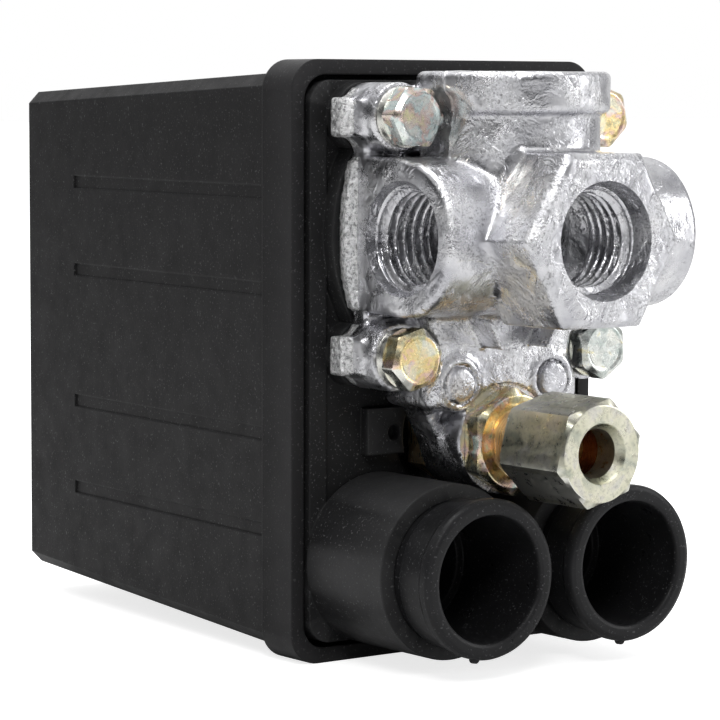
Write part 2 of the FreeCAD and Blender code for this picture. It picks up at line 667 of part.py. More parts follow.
def spring_seat():
    half_height = 8.2
    corner_r = 1.5
    hub_r = 4.6
    hub_length = 2.0
    hub_front = SEAT_Y - hub_length
    back = SEAT_Y + SEAT_T
    plate = rounded_box_y(FRAME_ARM_X - GAP, -half_height, half_height, SEAT_Y, back, corner_r)
    hub = rod_y(hub_r, hub_front, SEAT_Y + OVERLAP)
    return union([plate, hub]).cut(rod_y(SCREW_R + RUNNING_GAP, hub_front - OVERLAP, back + OVERLAP))


def adjusting_screw():
    head_af = 9.8
    head_t = 4.6
    slot_half = 0.6
    slot_depth = 1.2
    start_y = 50.0
    head_y = FRAME_BRIDGE_Y + FRAME_T + CLOSE_GAP
    head_end = head_y + head_t
    shank = rod_y(SCREW_R, start_y, head_y + FLAT)
    head = hexagon_y(head_af, head_y, head_end)
    slot = box(-head_af, head_af, head_end - slot_depth, head_end + OVERLAP, -slot_half, slot_half)
    groove = rod_y(SCREW_R + OVERLAP, CLIP_Y - CLOSE_GAP, CLIP_Y + CLIP_T + CLOSE_GAP).cut(
        rod_y(SCREW_GROOVE_R, CLIP_Y - OVERLAP, CLIP_Y + CLIP_T + OVERLAP))
    return union([shank, head]).cut([slot, groove])


def retaining_clip(outer_r, groove_r, front, thickness, opening_half, z):
    """Flat spring ring with an opening towards -Z."""
    back = front + thickness
    ring = rod_y(outer_r, front, back, 0.0, z).cut(
        rod_y(groove_r + RUNNING_GAP, front - OVERLAP, back + OVERLAP, 0.0, z))
    opening = box(-opening_half, opening_half, front - OVERLAP, back + OVERLAP, z - outer_r - OVERLAP, z)
    return ring.cut(opening)


def adjusting_screw_clip():
    return retaining_clip(4.9, SCREW_GROOVE_R, CLIP_Y, CLIP_T, 1.2, 0.0)


# ---- contacts ----
def terminal_block():
    block_half = 17.0
    block_low = -37.0
    block_high = -13.2
    slot_half = 4.2
    slot_low = -29.6
    slot_high = -20.6
    foot_x = 14.4
    foot_half = 2.2
    foot_low = -28.0
    foot_high = -20.4
    wall_x = 13.0
    wall_half = 0.6
    wall_height = 3.4
    wall_low = -27.8
    wall_high = -22.4
    hole_depth = 8.0
    block = box(-block_half, block_half, BLOCK_FRONT_Y, BLOCK_BACK_Y, block_low, block_high)
    slot = box(-slot_half, slot_half, BLOCK_FRONT_Y - OVERLAP, BLOCK_BACK_Y + OVERLAP, slot_low, slot_high)
    foot = box(foot_x - foot_half, foot_x + foot_half, BASE_BACK_Y, BLOCK_FRONT_Y + OVERLAP,
               foot_low, foot_high)
    wall = box(wall_x - wall_half, wall_x + wall_half, BLOCK_BACK_Y - OVERLAP, BLOCK_BACK_Y + wall_height,
               wall_low, wall_high)
    holes = [rod_y(SMALL_SCREW_R + RUNNING_GAP, BLOCK_BACK_Y - hole_depth, BLOCK_BACK_Y + OVERLAP, x, z)
             for x, z in TERMINAL_CENTRES]
    return union([block, foot, mirror_x(foot), wall, mirror_x(wall)]).cut([slot] + holes)


def terminal_strips():
    inner_x = 5.6
    outer_x = 16.8
    half_height = 3.0
    button_proud = 0.9
    back = BLOCK_BACK_Y + STRIP_T
    solids = []
    for x, z in TERMINAL_CENTRES:
        side = math.copysign(1.0, x)
        left, right = sorted((side * inner_x, side * outer_x))
        strip = box(left, right, BLOCK_BACK_Y, back, z - half_height, z + half_height)
        button = rod_y(CONTACT_R, back - FLAT, back + button_proud, side * CONTACT_X, z)
        hole = rod_y(SMALL_SCREW_R + BOLT_CLEARANCE, BLOCK_BACK_Y - OVERLAP, back + OVERLAP, x, z)
        solids.append(union([strip, button]).cut(hole))
    return Part.makeCompound(solids)


def slotted_screw(x, z, seat, head_r, head_t, shank_length):
    """Cheese-head screw along Y with a straight slot in its far end."""
    slot_half = 0.35
    slot_depth = 0.8
    top = seat + head_t
    head = rod_y(head_r, seat, top, x, z)
    shank = rod_y(SMALL_SCREW_R, seat - shank_length, seat + FLAT, x, z)
    slot = box(x - head_r - OVERLAP, x + head_r + OVERLAP, top - slot_depth, top + OVERLAP,
               z - slot_half, z + slot_half)
    return head.fuse(shank).cut(slot).removeSplitter()


def terminal_screws():
    seat = BLOCK_BACK_Y + STRIP_T
    return Part.makeCompound([slotted_screw(x, z, seat, 2.7, 1.9, 7.0) for x, z in TERMINAL_CENTRES])


def earth_screws():
    seat = BASE_BACK_Y + FRAME_T
    return Part.makeCompound([slotted_screw(side * EARTH_X, EARTH_Z, seat, 2.6, 1.8, 1.4) for side in SIDES])


def contact_carrier():
    """Stem from the lever through the terminal block, with a cross plate behind it."""
    stem_half = 3.4
    stem_low = -28.6
    stem_high = -21.6
    plate_half = 4.0
    plate_low = -35.4
    plate_high = -14.6
    plate_t = 2.6
    stem = box(-stem_half, stem_half, LEVER_FRONT_Y + FRAME_T + GAP, CARRIER_PLATE_Y + OVERLAP,
               stem_low, stem_high)
    plate = box(-plate_half, plate_half, CARRIER_PLATE_Y, CARRIER_PLATE_Y + plate_t, plate_low, plate_high)
    return stem.fuse(plate).removeSplitter()


def contact_bridges():
    bar_past = 2.0
    bar_half = 1.9
    button_t = 0.8
    bar_front = BRIDGE_Y + button_t
    solids = []
    for z in CONTACT_ROWS_Z:
        bar = box(-CONTACT_X - bar_past, CONTACT_X + bar_past, bar_front, bar_front + STRIP_T,
                  z - bar_half, z + bar_half)
        buttons = [rod_y(CONTACT_R, BRIDGE_Y, bar_front + FLAT, side * CONTACT_X, z) for side in SIDES]
        solids.append(union([bar] + buttons))
    return Part.makeCompound(solids)


def contact_springs():
    start = BRIDGE_Y + 2 * STRIP_T
    return Part.makeCompound([coil_y(1.3, 0.2, start, CARRIER_PLATE_Y, 3, 0.0, z) for z in CONTACT_ROWS_Z])


# ---- knob and cover fixings ----
def switch_knob():
    """Round knob with a raised grip bar across it."""
    disc_t = 3.0
    disc_round = 0.8
    grip_half = 2.6
    grip_reach = 8.4
    grip_t = 9.0
    grip_round = 1.8
    face = COVER_END_Y + GAP
    disc = rod_y(KNOB_R, face, face + disc_t, 0.0, KNOB_Z)
    disc = disc.makeFillet(disc_round, edges_at_y(disc, face + disc_t))
    grip = rounded_box_y(grip_half, KNOB_Z - grip_reach, KNOB_Z + grip_reach, face + disc_t - OVERLAP,
                         face + grip_t, grip_round)
    hole = rod_y(KNOB_SHAFT_R, face - OVERLAP, face + KNOB_SHAFT_PAST, 0.0, KNOB_Z)
    return union([disc, grip]).cut(hole)


def knob_shaft():
    """Shaft through the cover's end wall with an eccentric cam at its inner end."""
    cam_start = 80.0
    cam_t = 3.0
    cam_r = 4.2
    cam_offset = 2.2
    shoulder_t = 3.5
    face = COVER_END_Y + GAP
    shoulder_end = COVER_END_Y + CLOSE_GAP
    shaft = rod_y(KNOB_SHAFT_R, cam_start + FLAT, face + KNOB_SHAFT_PAST, 0.0, KNOB_Z)
    shoulder = rod_y(KNOB_HOLE_R - RUNNING_GAP, shoulder_end - shoulder_t, shoulder_end, 0.0, KNOB_Z)
    cam = rod_y(cam_r, cam_start, cam_start + cam_t, cam_offset, KNOB_Z)
    groove = rod_y(KNOB_SHAFT_R + OVERLAP, KNOB_CLIP_Y - CLOSE_GAP, KNOB_CLIP_Y + KNOB_CLIP_T + CLOSE_GAP,
                   0.0, KNOB_Z).cut(
        rod_y(KNOB_GROOVE_R, KNOB_CLIP_Y - OVERLAP, KNOB_CLIP_Y + KNOB_CLIP_T + OVERLAP, 0.0, KNOB_Z))
    return union([shaft, shoulder, cam]).cut(groove)


def knob_clip():
    return retaining_clip(4.6, KNOB_GROOVE_R, KNOB_CLIP_Y, KNOB_CLIP_T, 1.0, KNOB_Z)


def cover_post():
    across_flats = 5.0
    stud_past = 0.6
    tapped_depth = 8.0
    start = FRAME_BRIDGE_Y + FRAME_T
    end = COVER_END_Y - COVER_WALL - CLOSE_GAP
    post = hexagon_y(across_flats, start, end, 0.0, POST_Z)
    stud = rod_y(POST_STUD_R, FRAME_BRIDGE_Y - stud_past, start + FLAT, 0.0, POST_Z)
    tapped = rod_y(COVER_SCREW_R + RUNNING_GAP, end - tapped_depth, end + OVERLAP, 0.0, POST_Z)
    return post.fuse(stud).cut(tapped).removeSplitter()


def cover_screw():
    head_r = 3.2
    head_t = 2.0
    head_round = 0.7
    cross_half = 0.4
    cross_reach = 2.0
    cross_depth = 1.0
    shank_length = 9.0
    top = COVER_END_Y + head_t
    head = rod_y(head_r, COVER_END_Y, top, 0.0, POST_Z)
    head = head.makeFillet(head_round, edges_at_y(head, top))
    shank = rod_y(COVER_SCREW_R, COVER_END_Y - shank_length, COVER_END_Y + FLAT, 0.0, POST_Z)
    cross = [box(-half_x, half_x, top - cross_depth, top + OVERLAP, POST_Z - half_z, POST_Z + half_z)
             for half_x, half_z in ((cross_reach, cross_half), (cross_half, cross_reach))]
    return head.fuse(shank).cut(cross).removeSplitter()


NODES = {
    "cover": cover,
    "base_plate": base_plate,
    "cable_sleeve_left": lambda: cable_sleeve(-1),
    "cable_sleeve_right": lambda: cable_sleeve(1),
    "manifold": manifold,
    "diaphragm": diaphragm,
    "flange_bolts": flange_bolts,
    "bolt_lock_washers": bolt_lock_washers,
    "unloader_valve_body": unloader_valve_body,
    "compression_nut": compression_nut,
    "ferrule": ferrule,
    "unloader_lock_nut": unloader_lock_nut,
    "unloader_pin": unloader_pin,
    "unloader_spring": unloader_spring,
    "pusher": pusher,
    "spring_frame": spring_frame,
    "lever_pin": lever_pin,
    "lever": lever,
    "main_spring": main_spring,
    "spring_seat": spring_seat,
    "adjusting_screw": adjusting_screw,
    "adjusting_screw_clip": adjusting_screw_clip,
    "terminal_block": terminal_block,
    "terminal_strips": terminal_strips,
    "terminal_screws": terminal_screws,
    "earth_screws": earth_screws,
    "contact_carrier": contact_carrier,
    "contact_bridges": contact_bridges,
    "contact_springs": contact_springs,
    "switch_knob": switch_knob,
    "knob_shaft": knob_shaft,
    "knob_clip": knob_clip,
    "cover_post": cover_post,
    "cover_screw": cover_screw,
}

os.makedirs("parts", exist_ok=True)
for name, make in NODES.items():
    shape = make()
    print(name, "valid" if shape.isValid() else "INVALID", len(shape.Solids), round(shape.Volume, 1))
    shape.exportStep("parts/" + name + ".step")
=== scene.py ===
import json
import math
import bmesh
import bpy
import numpy as np
import openvdb
from mathutils import Matrix, Vector


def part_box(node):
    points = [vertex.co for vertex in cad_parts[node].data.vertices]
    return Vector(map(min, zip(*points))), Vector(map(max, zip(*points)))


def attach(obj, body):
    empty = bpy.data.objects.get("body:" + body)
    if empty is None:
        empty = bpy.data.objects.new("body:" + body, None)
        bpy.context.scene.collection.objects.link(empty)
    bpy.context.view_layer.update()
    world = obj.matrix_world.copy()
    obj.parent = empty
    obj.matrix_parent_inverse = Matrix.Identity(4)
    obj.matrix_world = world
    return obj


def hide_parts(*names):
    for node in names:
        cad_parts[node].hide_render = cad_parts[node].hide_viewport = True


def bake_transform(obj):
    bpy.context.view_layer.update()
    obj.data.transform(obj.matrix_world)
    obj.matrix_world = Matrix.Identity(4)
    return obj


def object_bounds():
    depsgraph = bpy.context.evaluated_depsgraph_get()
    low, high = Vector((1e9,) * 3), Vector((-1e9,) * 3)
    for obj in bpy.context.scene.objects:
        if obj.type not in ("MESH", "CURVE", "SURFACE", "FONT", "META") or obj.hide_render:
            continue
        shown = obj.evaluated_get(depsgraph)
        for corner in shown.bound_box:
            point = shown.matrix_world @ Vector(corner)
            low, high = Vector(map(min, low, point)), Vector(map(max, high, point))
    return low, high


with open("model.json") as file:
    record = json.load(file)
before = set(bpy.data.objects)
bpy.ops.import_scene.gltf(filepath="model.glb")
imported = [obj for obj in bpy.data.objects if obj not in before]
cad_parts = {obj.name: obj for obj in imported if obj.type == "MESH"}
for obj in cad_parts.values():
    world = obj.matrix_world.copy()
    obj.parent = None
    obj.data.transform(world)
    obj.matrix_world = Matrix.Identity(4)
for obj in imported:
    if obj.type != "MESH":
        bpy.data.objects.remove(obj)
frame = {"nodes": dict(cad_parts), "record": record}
cad_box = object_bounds()

MM = 0.001
HOUSING = "housing"
MOUNTS = {m["name"]: m for m in frame["record"]["mounts"]}
SLOTS = {p["node"]: p["material_slot"] for p in frame["record"]["subparts"]}


def low(node):
    """Lowest corner of a CAD node, in millimetres."""
    return [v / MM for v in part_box(node)[0]]


def high(node):
    """Highest corner of a CAD node, in millimetres."""
    return [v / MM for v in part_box(node)[1]]


def mount_mm(name):
    """Place of a mount, in millimetres."""
    return [v / MM for v in MOUNTS[name]["pos_m"]]


# ---- sizes read from the frame, in millimetres ----
TAB_REACH = 3.1  # how far the ears' tabs reach past the left port's face
HEX_FACE_Y = low("manifold")[1]
LEFT_FACE_X = low("manifold")[0] + TAB_REACH
RIGHT_FACE_X = high("manifold")[0]
TOP_FACE_Z = high("manifold")[2]
FLANGE_BACK_Y = high("manifold")[1]
LEG_TIP_Z = low("manifold")[2]
PORT_Y = mount_mm("left_port")[1]
THREAD_R = MOUNTS["main_port"]["dims"]["r_mm"]
VALVE_Z = mount_mm("unloader_tube")[2]
TUBE_R = MOUNTS["unloader_tube"]["dims"]["r_mm"]
SOCKET_X = mount_mm("cable_entry_right")[0]
SOCKET_Z = mount_mm("cable_entry_right")[2]
SLEEVE_BORE_R = MOUNTS["cable_entry_right"]["dims"]["r_mm"]
BOLT_FRONT_Y = low("flange_bolts")[1]
BOLT_SEAT_Y = low("bolt_lock_washers")[1]
BOLT_END_Y = high("flange_bolts")[1]
VALVE_FRONT_Y = low("unloader_valve_body")[1]
VALVE_BACK_Y = high("unloader_valve_body")[1]

# ---- sizes that the frame doesn't hold, in millimetres ----
THREAD_PITCH = 1.337
RIDGE_H = 0.86
HEX_AF = 21.0
HEX_CHAMFER = 0.8
MAIN_BARREL_R = 9.9
CROSS_BARREL_R = 9.6
NECK_R = 10.8
COLLAR_R = 12.0
PASSAGE_R = 4.0
EAR_SEAT_Y = 18.4
FLANGE_MIDDLE_Y = 24.3
BOLT_X = 15.0
BOLT_Z = 14.75
BOLT_R = 1.95
BOLT_AF = 7.0
BUTTON_X = 7.5
BUTTON_Z = -18.3
VALVE_AF = 12.0
VALVE_HEX_Y = 13.8
VALVE_SEAT_Y = 16.8
VALVE_SEAT_R = 6.85
VALVE_NECK_R = 4.6


# ---- meshes ----
def add_piece(name, points_mm, faces, body, slot, smooth_angle=40.0):
    """Object made of points in millimetres, smooth-shaded up to an angle; rides on a body if one is given."""
    mesh = bpy.data.meshes.new(name)
    mesh.from_pydata([tuple(c * MM for c in p) for p in points_mm], [], faces)
    mesh.validate()
    mesh.update()
    piece = bpy.data.objects.new(name, mesh)
    bpy.context.scene.collection.objects.link(piece)
    for polygon in mesh.polygons:
        polygon.use_smooth = True
    mesh.set_sharp_from_angle(angle=math.radians(smooth_angle))
    mesh.materials.append(MATERIALS[slot])
    if body:
        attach(piece, body)
    return piece


def grid_faces(rings, around):
    """Quads that join rings of points, and close the last ring to the first."""
    faces = []
    for i in range(rings):
        for j in range(around):
            a = i * around + j
            b = i * around + (j + 1) % around
            c = ((i + 1) % rings) * around + (j + 1) % around
            d = ((i + 1) % rings) * around + j
            faces.append((a, b, c, d))
    return faces


def capped_faces(rings, around):
    """Quads that join rings of points, with the first and last ring each closed by one polygon."""
    faces = []
    for i in range(rings - 1):
        for j in range(around):
            k = (j + 1) % around
            faces.append((i * around + j, i * around + k, (i + 1) * around + k, (i + 1) * around + j))
    faces.append(tuple(reversed(range(around))))
    faces.append(tuple(range((rings - 1) * around, rings * around)))
    return faces


def hexagon_radius(across_flats, angle):
    """Distance from a hexagon's centre to its outline; corners at 0, 60, ... degrees."""
    sector = math.radians(60)
    inside = (angle % sector) - sector / 2
    return across_flats / 2 / math.cos(inside)


# ---- signed distances for the casting, on a grid of points ----
def sd_box(p, centre, half, rounding):
    """Box with rounded edges; half holds its half sizes."""
    q = [np.abs(p[i] - centre[i]) - (half[i] - rounding) for i in range(3)]
    outside = np.sqrt(sum(np.maximum(c, 0.0) ** 2 for c in q))
    inside = np.minimum(np.maximum(np.maximum(q[0], q[1]), q[2]), 0.0)
    return outside + inside - rounding


def sd_extruded(flat, along, middle, half, rounding):
    """A flat outline's distance made solid along one axis."""
    a = flat + rounding
    b = np.abs(along - middle) - (half - rounding)
    return np.minimum(np.maximum(a, b), 0.0) + np.hypot(np.maximum(a, 0.0), np.maximum(b, 0.0)) - rounding


def sd_rod(p, axis, centre, radius, start, end, rounding=0.5):
    """Round bar along axis 0, 1 or 2; centre gives the other two coordinates in order."""
    u, v = [i for i in range(3) if i != axis]
    flat = np.hypot(p[u] - centre[0], p[v] - centre[1]) - radius
    return sd_extruded(flat, p[axis], (start + end) / 2, (end - start) / 2, rounding)


def sd_hexagon_y(p, across_flats, start, end, rounding):
    """Hexagonal bar along Y with corners to the left and right, chamfered round its start."""
    half = across_flats / 2
    angles = [math.radians(30 + 60 * i) for i in range(6)]
    flat = np.full_like(p[0], -1e9)
    for a in angles:
        flat = np.maximum(flat, p[0] * math.cos(a) + p[2] * math.sin(a) - half)
    chamfer = (flat + start - p[1] + HEX_CHAMFER) / math.sqrt(2)
    return np.maximum(sd_extruded(flat, p[1], (start + end) / 2, (end - start) / 2, rounding), chamfer)


def sd_outline_y(p, outline, start, end, rounding):
    """Convex outline of (x, z) points, counter-clockwise, made solid along Y."""
    flat = np.full_like(p[0], -1e9)
    for (x0, z0), (x1, z1) in zip(outline, outline[1:] + outline[:1]):
        length = math.hypot(x1 - x0, z1 - z0)
        flat = np.maximum(flat, ((p[0] - x0) * (z1 - z0) - (p[2] - z0) * (x1 - x0)) / length)
    return sd_extruded(flat, p[1], (start + end) / 2, (end - start) / 2, rounding)


def blend_in(a, b, fillet):
    """Union with a fillet of about that radius."""
    h = np.maximum(fillet - np.abs(a - b), 0.0) / fillet
    return np.minimum(a, b) - h * h * fillet / 4


def carve(a, b, fillet):
    """Takes b out of a, with a rounded edge."""
    return -blend_in(-a, b, fillet)


def smooth_noise(shape, spacing, seed):
    """Noise between -1 and 1 that varies over about so many cells."""
    random = np.random.default_rng(seed)
    counts = [int(n / spacing) + 3 for n in shape]
    values = random.uniform(-1, 1, counts)
    for axis, n in enumerate(shape):
        position = np.arange(n) / spacing
        index = position.astype(int)
        part = position - index
        part = part * part * (3 - 2 * part)
        weight = part.reshape([-1 if i == axis else 1 for i in range(3)])
        values = np.take(values, index, axis) * (1 - weight) + np.take(values, index + 1, axis) * weight
    return values


def surface_of(distance, corner, cell):
    """Points and faces of the zero surface of a grid of distances."""
    volume = openvdb.FloatGrid(4 * cell)
    volume.copyFromArray(np.clip(distance, -4 * cell, 4 * cell).astype(np.float32))
    points, triangles, quads = volume.convertToPolygons(isovalue=0.0, adaptivity=0.0)
    points = np.asarray(points) * cell + np.asarray(corner)
    faces = [tuple(int(i) for i in reversed(f)) for f in triangles]
    faces += [tuple(int(i) for i in reversed(f)) for f in quads]
    return points, faces


# ---- materials ----
def material_nodes(name):
    """An empty material with its shader, and the object's own coordinates in metres."""
    material = bpy.data.materials.new(name)
    material.use_nodes = True
    tree = material.node_tree
    shader = tree.nodes["Principled BSDF"]
    place = tree.nodes.new("ShaderNodeTexCoord").outputs["Object"]
    return material, tree, shader, place


def noise(tree, place, size_mm, detail=4.0, rough=0.55, distortion=0.0):
    """Noise whose lumps are about size_mm across."""
    node = tree.nodes.new("ShaderNodeTexNoise")
    node.inputs["Scale"].default_value = 1.0 / (size_mm * MM)
    node.inputs["Detail"].default_value = detail
    node.inputs["Roughness"].default_value = rough
    node.inputs["Distortion"].default_value = distortion
    tree.links.new(place, node.inputs["Vector"])
    return node.outputs["Fac"]


def stretched(tree, place, x, y, z):
    """The coordinates scaled along each axis, for marks that run one way."""
    node = tree.nodes.new("ShaderNodeMapping")
    node.inputs["Scale"].default_value = (x, y, z)
    tree.links.new(place, node.inputs["Vector"])
    return node.outputs["Vector"]


def ramp(tree, value, stops):
    """Colour ramp; stops are (position, (r, g, b)) or (position, grey)."""
    node = tree.nodes.new("ShaderNodeValToRGB")
    elements = node.color_ramp.elements
    while len(elements) < len(stops):
        elements.new(0.5)
    for element, (position, colour) in zip(elements, stops):
        element.position = position
        rgb = colour if isinstance(colour, tuple) else (colour, colour, colour)
        element.color = (*rgb, 1.0)
    tree.links.new(value, node.inputs["Fac"])
    return node.outputs["Color"]


def remap(tree, value, from_low, from_high, to_low, to_high):
    """The value's range from_low to from_high stretched to to_low to to_high, and held at those ends."""
    node = tree.nodes.new("ShaderNodeMapRange")
    sockets = ("From Min", "From Max", "To Min", "To Max")
    for socket, number in zip(sockets, (from_low, from_high, to_low, to_high)):
        node.inputs[socket].default_value = number
    tree.links.new(value, node.inputs["Value"])
    return node.outputs["Result"]


def math_node(tree, operation, a, b):
    node = tree.nodes.new("ShaderNodeMath")
    node.operation = operation
    for socket, value in zip(node.inputs, (a, b)):
        if isinstance(value, (int, float)):
            socket.default_value = value
        else:
            tree.links.new(value, socket)
    return node.outputs["Value"]


def mix(tree, factor, a, b, blend="MIX"):
    node = tree.nodes.new("ShaderNodeMix")
    node.data_type = "RGBA"
    node.blend_type = blend
    for name, value in (("Factor_Float", factor), ("A_Color", a), ("B_Color", b)):
        socket = [s for s in node.inputs if s.identifier == name][0]
        if isinstance(value, tuple):
            socket.default_value = (*value, 1.0)
        elif isinstance(value, (int, float)):
            socket.default_value = value
        else:
            tree.links.new(value, socket)
    return [s for s in node.outputs if s.identifier == "Result_Color"][0]


def bump(tree, shader, height, depth_mm, strength=1.0, below=None):
    """Bump of a given depth; below is another bump's output to add to."""
    node = tree.nodes.new("ShaderNodeBump")
    node.inputs["Distance"].default_value = depth_mm * MM
    node.inputs["Strength"].default_value = strength
    tree.links.new(height, node.inputs["Height"])
    if below:
        tree.links.new(below, node.inputs["Normal"])
    tree.links.new(node.outputs["Normal"], shader.inputs["Normal"])
    return node.outputs["Normal"]


def curvature_mask(tree):
    """Near 1 on outside edges, 0.5 on flat faces, less in corners."""
    return tree.nodes.new("ShaderNodeNewGeometry").outputs["Pointiness"]


def rounded_edges(tree, radius_mm):
    """Normals that turn smoothly over sharp edges, as on a moulding."""
    node = tree.nodes.new("ShaderNodeBevel")
    node.samples = 6
    node.inputs["Radius"].default_value = radius_mm * MM
    return node.outputs["Normal"]


def moulded_plastic(name, dark, light, rough, grain_mm=0.35, depth_mm=0.02):
    """Moulded plastic or rubber: fine grain, a few lighter specks, rubbed edges and uneven gloss."""
    material, tree, shader, place = material_nodes(name)
    cloud = noise(tree, place, 9.0)
    base = ramp(tree, cloud, [(0.3, dark), (0.75, light)])
    specks = ramp(tree, noise(tree, place, 0.30, 1.0), [(0.66, 0.0), (0.72, 1.0)])
    pale = tuple(c * 3.0 + 0.030 for c in light)
    base = mix(tree, specks, base, pale)
    worn = ramp(tree, curvature_mask(tree), [(0.52, 0.0), (0.62, 1.0)])
    worn = math_node(tree, "MULTIPLY", worn, 0.55)
    base = mix(tree, worn, base, tuple(c * 2.2 + 0.01 for c in light))
    tree.links.new(base, shader.inputs["Base Color"])
    shine = remap(tree, noise(tree, place, 3.0, 6.0), 0.3, 0.7, rough - 0.06, rough + 0.08)
    tree.links.new(shine, shader.inputs["Roughness"])
    shader.inputs["Specular IOR Level"].default_value = 0.16
    wave = bump(tree, shader, noise(tree, place, 14.0, 2.0), 0.12, 0.35, rounded_edges(tree, 0.35))
    bump(tree, shader, noise(tree, place, grain_mm, 3.0, 0.6), depth_mm, 0.8, wave)
    return material


def die_cast(name):
    """Tumbled die-cast alloy: bright, softly dented, finely pitted, greyer in the hollows."""
    material, tree, shader, place = material_nodes(name)
    shader.inputs["Metallic"].default_value = 1.0
    cloud = noise(tree, place, 5.0, 6.0, 0.6)
    greys = [(0.30, (0.47, 0.47, 0.50)), (0.55, (0.68, 0.68, 0.70)), (0.75, (0.84, 0.835, 0.84))]
    base = ramp(tree, cloud, greys)
    # Greyer in concave corners and hollows, following the surface's curvature.
    concave_darkening = ramp(tree, curvature_mask(tree), [(0.40, 0.45), (0.49, 1.0)])
    base = mix(tree, 1.0, base, concave_darkening, "MULTIPLY")
    pits = ramp(tree, noise(tree, place, 0.34, 3.0, 0.7), [(0.34, 0.42), (0.50, 1.0)])
    patch = ramp(tree, noise(tree, place, 4.5, 4.0, 0.65, 0.5), [(0.46, 0.06), (0.58, 1.0)])
    pitted = mix(tree, patch, base, mix(tree, 1.0, base, pits, "MULTIPLY"))
    tree.links.new(pitted, shader.inputs["Base Color"])
    smooth_part = remap(tree, noise(tree, place, 4.0, 4.0), 0.35, 0.65, 0.15, 0.30)
    fine_part = math_node(tree, "MULTIPLY", noise(tree, place, 0.25, 2.0), 0.10)
    tree.links.new(math_node(tree, "ADD", smooth_part, fine_part), shader.inputs["Roughness"])
    lumps = bump(tree, shader, noise(tree, place, 2.2, 4.0, 0.55), 0.20, 0.55)
    rough_skin = math_node(tree, "MULTIPLY", noise(tree, place, 0.45, 4.0, 0.7), patch)
    bump(tree, shader, rough_skin, 0.17, 1.0, lumps)
    return material


def broken_metal(name):
    """Coarse bright grain where a gate or its flash was broken off."""
    material, tree, shader, place = material_nodes(name)
    shader.inputs["Metallic"].default_value = 1.0
    grain = noise(tree, place, 0.55, 4.0, 0.75)
    base = ramp(tree, grain, [(0.38, 0.30), (0.50, 0.75), (0.60, 0.95)])
    tree.links.new(base, shader.inputs["Base Color"])
    shader.inputs["Roughness"].default_value = 0.30
    bump(tree, shader, grain, 0.50, 1.0)
    return material


def plated_steel(name, stops, rough, hue_mm=2.4):
    """Zinc plate with a coloured passivation that drifts in hue."""
    material, tree, shader, place = material_nodes(name)
    shader.inputs["Metallic"].default_value = 1.0
    hue = ramp(tree, noise(tree, place, hue_mm, 3.0, 0.5, 0.6), stops)
    dirt = ramp(tree, noise(tree, place, 0.5, 5.0, 0.7), [(0.28, 0.55), (0.50, 1.0)])
    base = mix(tree, 1.0, hue, dirt, "MULTIPLY")
    bright = ramp(tree, curvature_mask(tree), [(0.53, 0.0), (0.62, 1.0)])
    base = mix(tree, bright, base, (0.86, 0.85, 0.78))
    tree.links.new(base, shader.inputs["Base Color"])
    shine = remap(tree, noise(tree, place, 1.2, 5.0, 0.65), 0.3, 0.7, rough - 0.08, rough + 0.14)
    tree.links.new(shine, shader.inputs["Roughness"])
    broad = bump(tree, shader, noise(tree, place, 1.3, 3.0), 0.02, 0.4)
    bump(tree, shader, noise(tree, place, 0.22, 3.0, 0.7), 0.015, 0.6, broad)
    return material


def turned_metal(name, dark, light, rough):
    """Machined metal: fine tool marks round its Y axis, tarnish in patches."""
    material, tree, shader, place = material_nodes(name)
    shader.inputs["Metallic"].default_value = 1.0
    tarnish = ramp(tree, noise(tree, place, 2.8, 5.0, 0.6, 0.3), [(0.32, dark), (0.62, light)])
    # Darker in concave corners and thread roots, following the surface's curvature.
    hollows = ramp(tree, curvature_mask(tree), [(0.40, 0.45), (0.49, 1.0)])
    base = mix(tree, 1.0, tarnish, hollows, "MULTIPLY")
    tree.links.new(base, shader.inputs["Base Color"])
    marks = noise(tree, stretched(tree, place, 1.0, 9.0, 1.0), 1.6, 4.0, 0.6)
    tree.links.new(remap(tree, marks, 0.3, 0.7, rough - 0.06, rough + 0.12), shader.inputs["Roughness"])
    bump(tree, shader, marks, 0.03, 0.5)
    return material


RAINBOW_ZINC = [(0.32, (0.86, 0.80, 0.52)), (0.44, (0.80, 0.62, 0.58)), (0.52, (0.66, 0.78, 0.76)),
                (0.60, (0.84, 0.86, 0.84)), (0.68, (0.58, 0.68, 0.60))]
PALE_ZINC = [(0.32, (0.44, 0.50, 0.47)), (0.48, (0.62, 0.66, 0.63)), (0.60, (0.82, 0.84, 0.80)),
             (0.68, (0.72, 0.66, 0.40))]
YELLOW_ZINC = [(0.30, (0.62, 0.66, 0.52)), (0.42, (0.84, 0.76, 0.46)), (0.52, (0.90, 0.70, 0.34)),
               (0.60, (0.84, 0.58, 0.50)), (0.70, (0.60, 0.74, 0.66)), (0.80, (0.78, 0.80, 0.74))]
OLIVE_ZINC = [(0.30, (0.40, 0.42, 0.34)), (0.45, (0.62, 0.61, 0.47)), (0.55, (0.70, 0.68, 0.54)),
              (0.64, (0.60, 0.58, 0.52)), (0.74, (0.62, 0.66, 0.50))]
PLAIN_STEEL = [(0.3, (0.50, 0.50, 0.52)), (0.6, (0.70, 0.70, 0.72))]

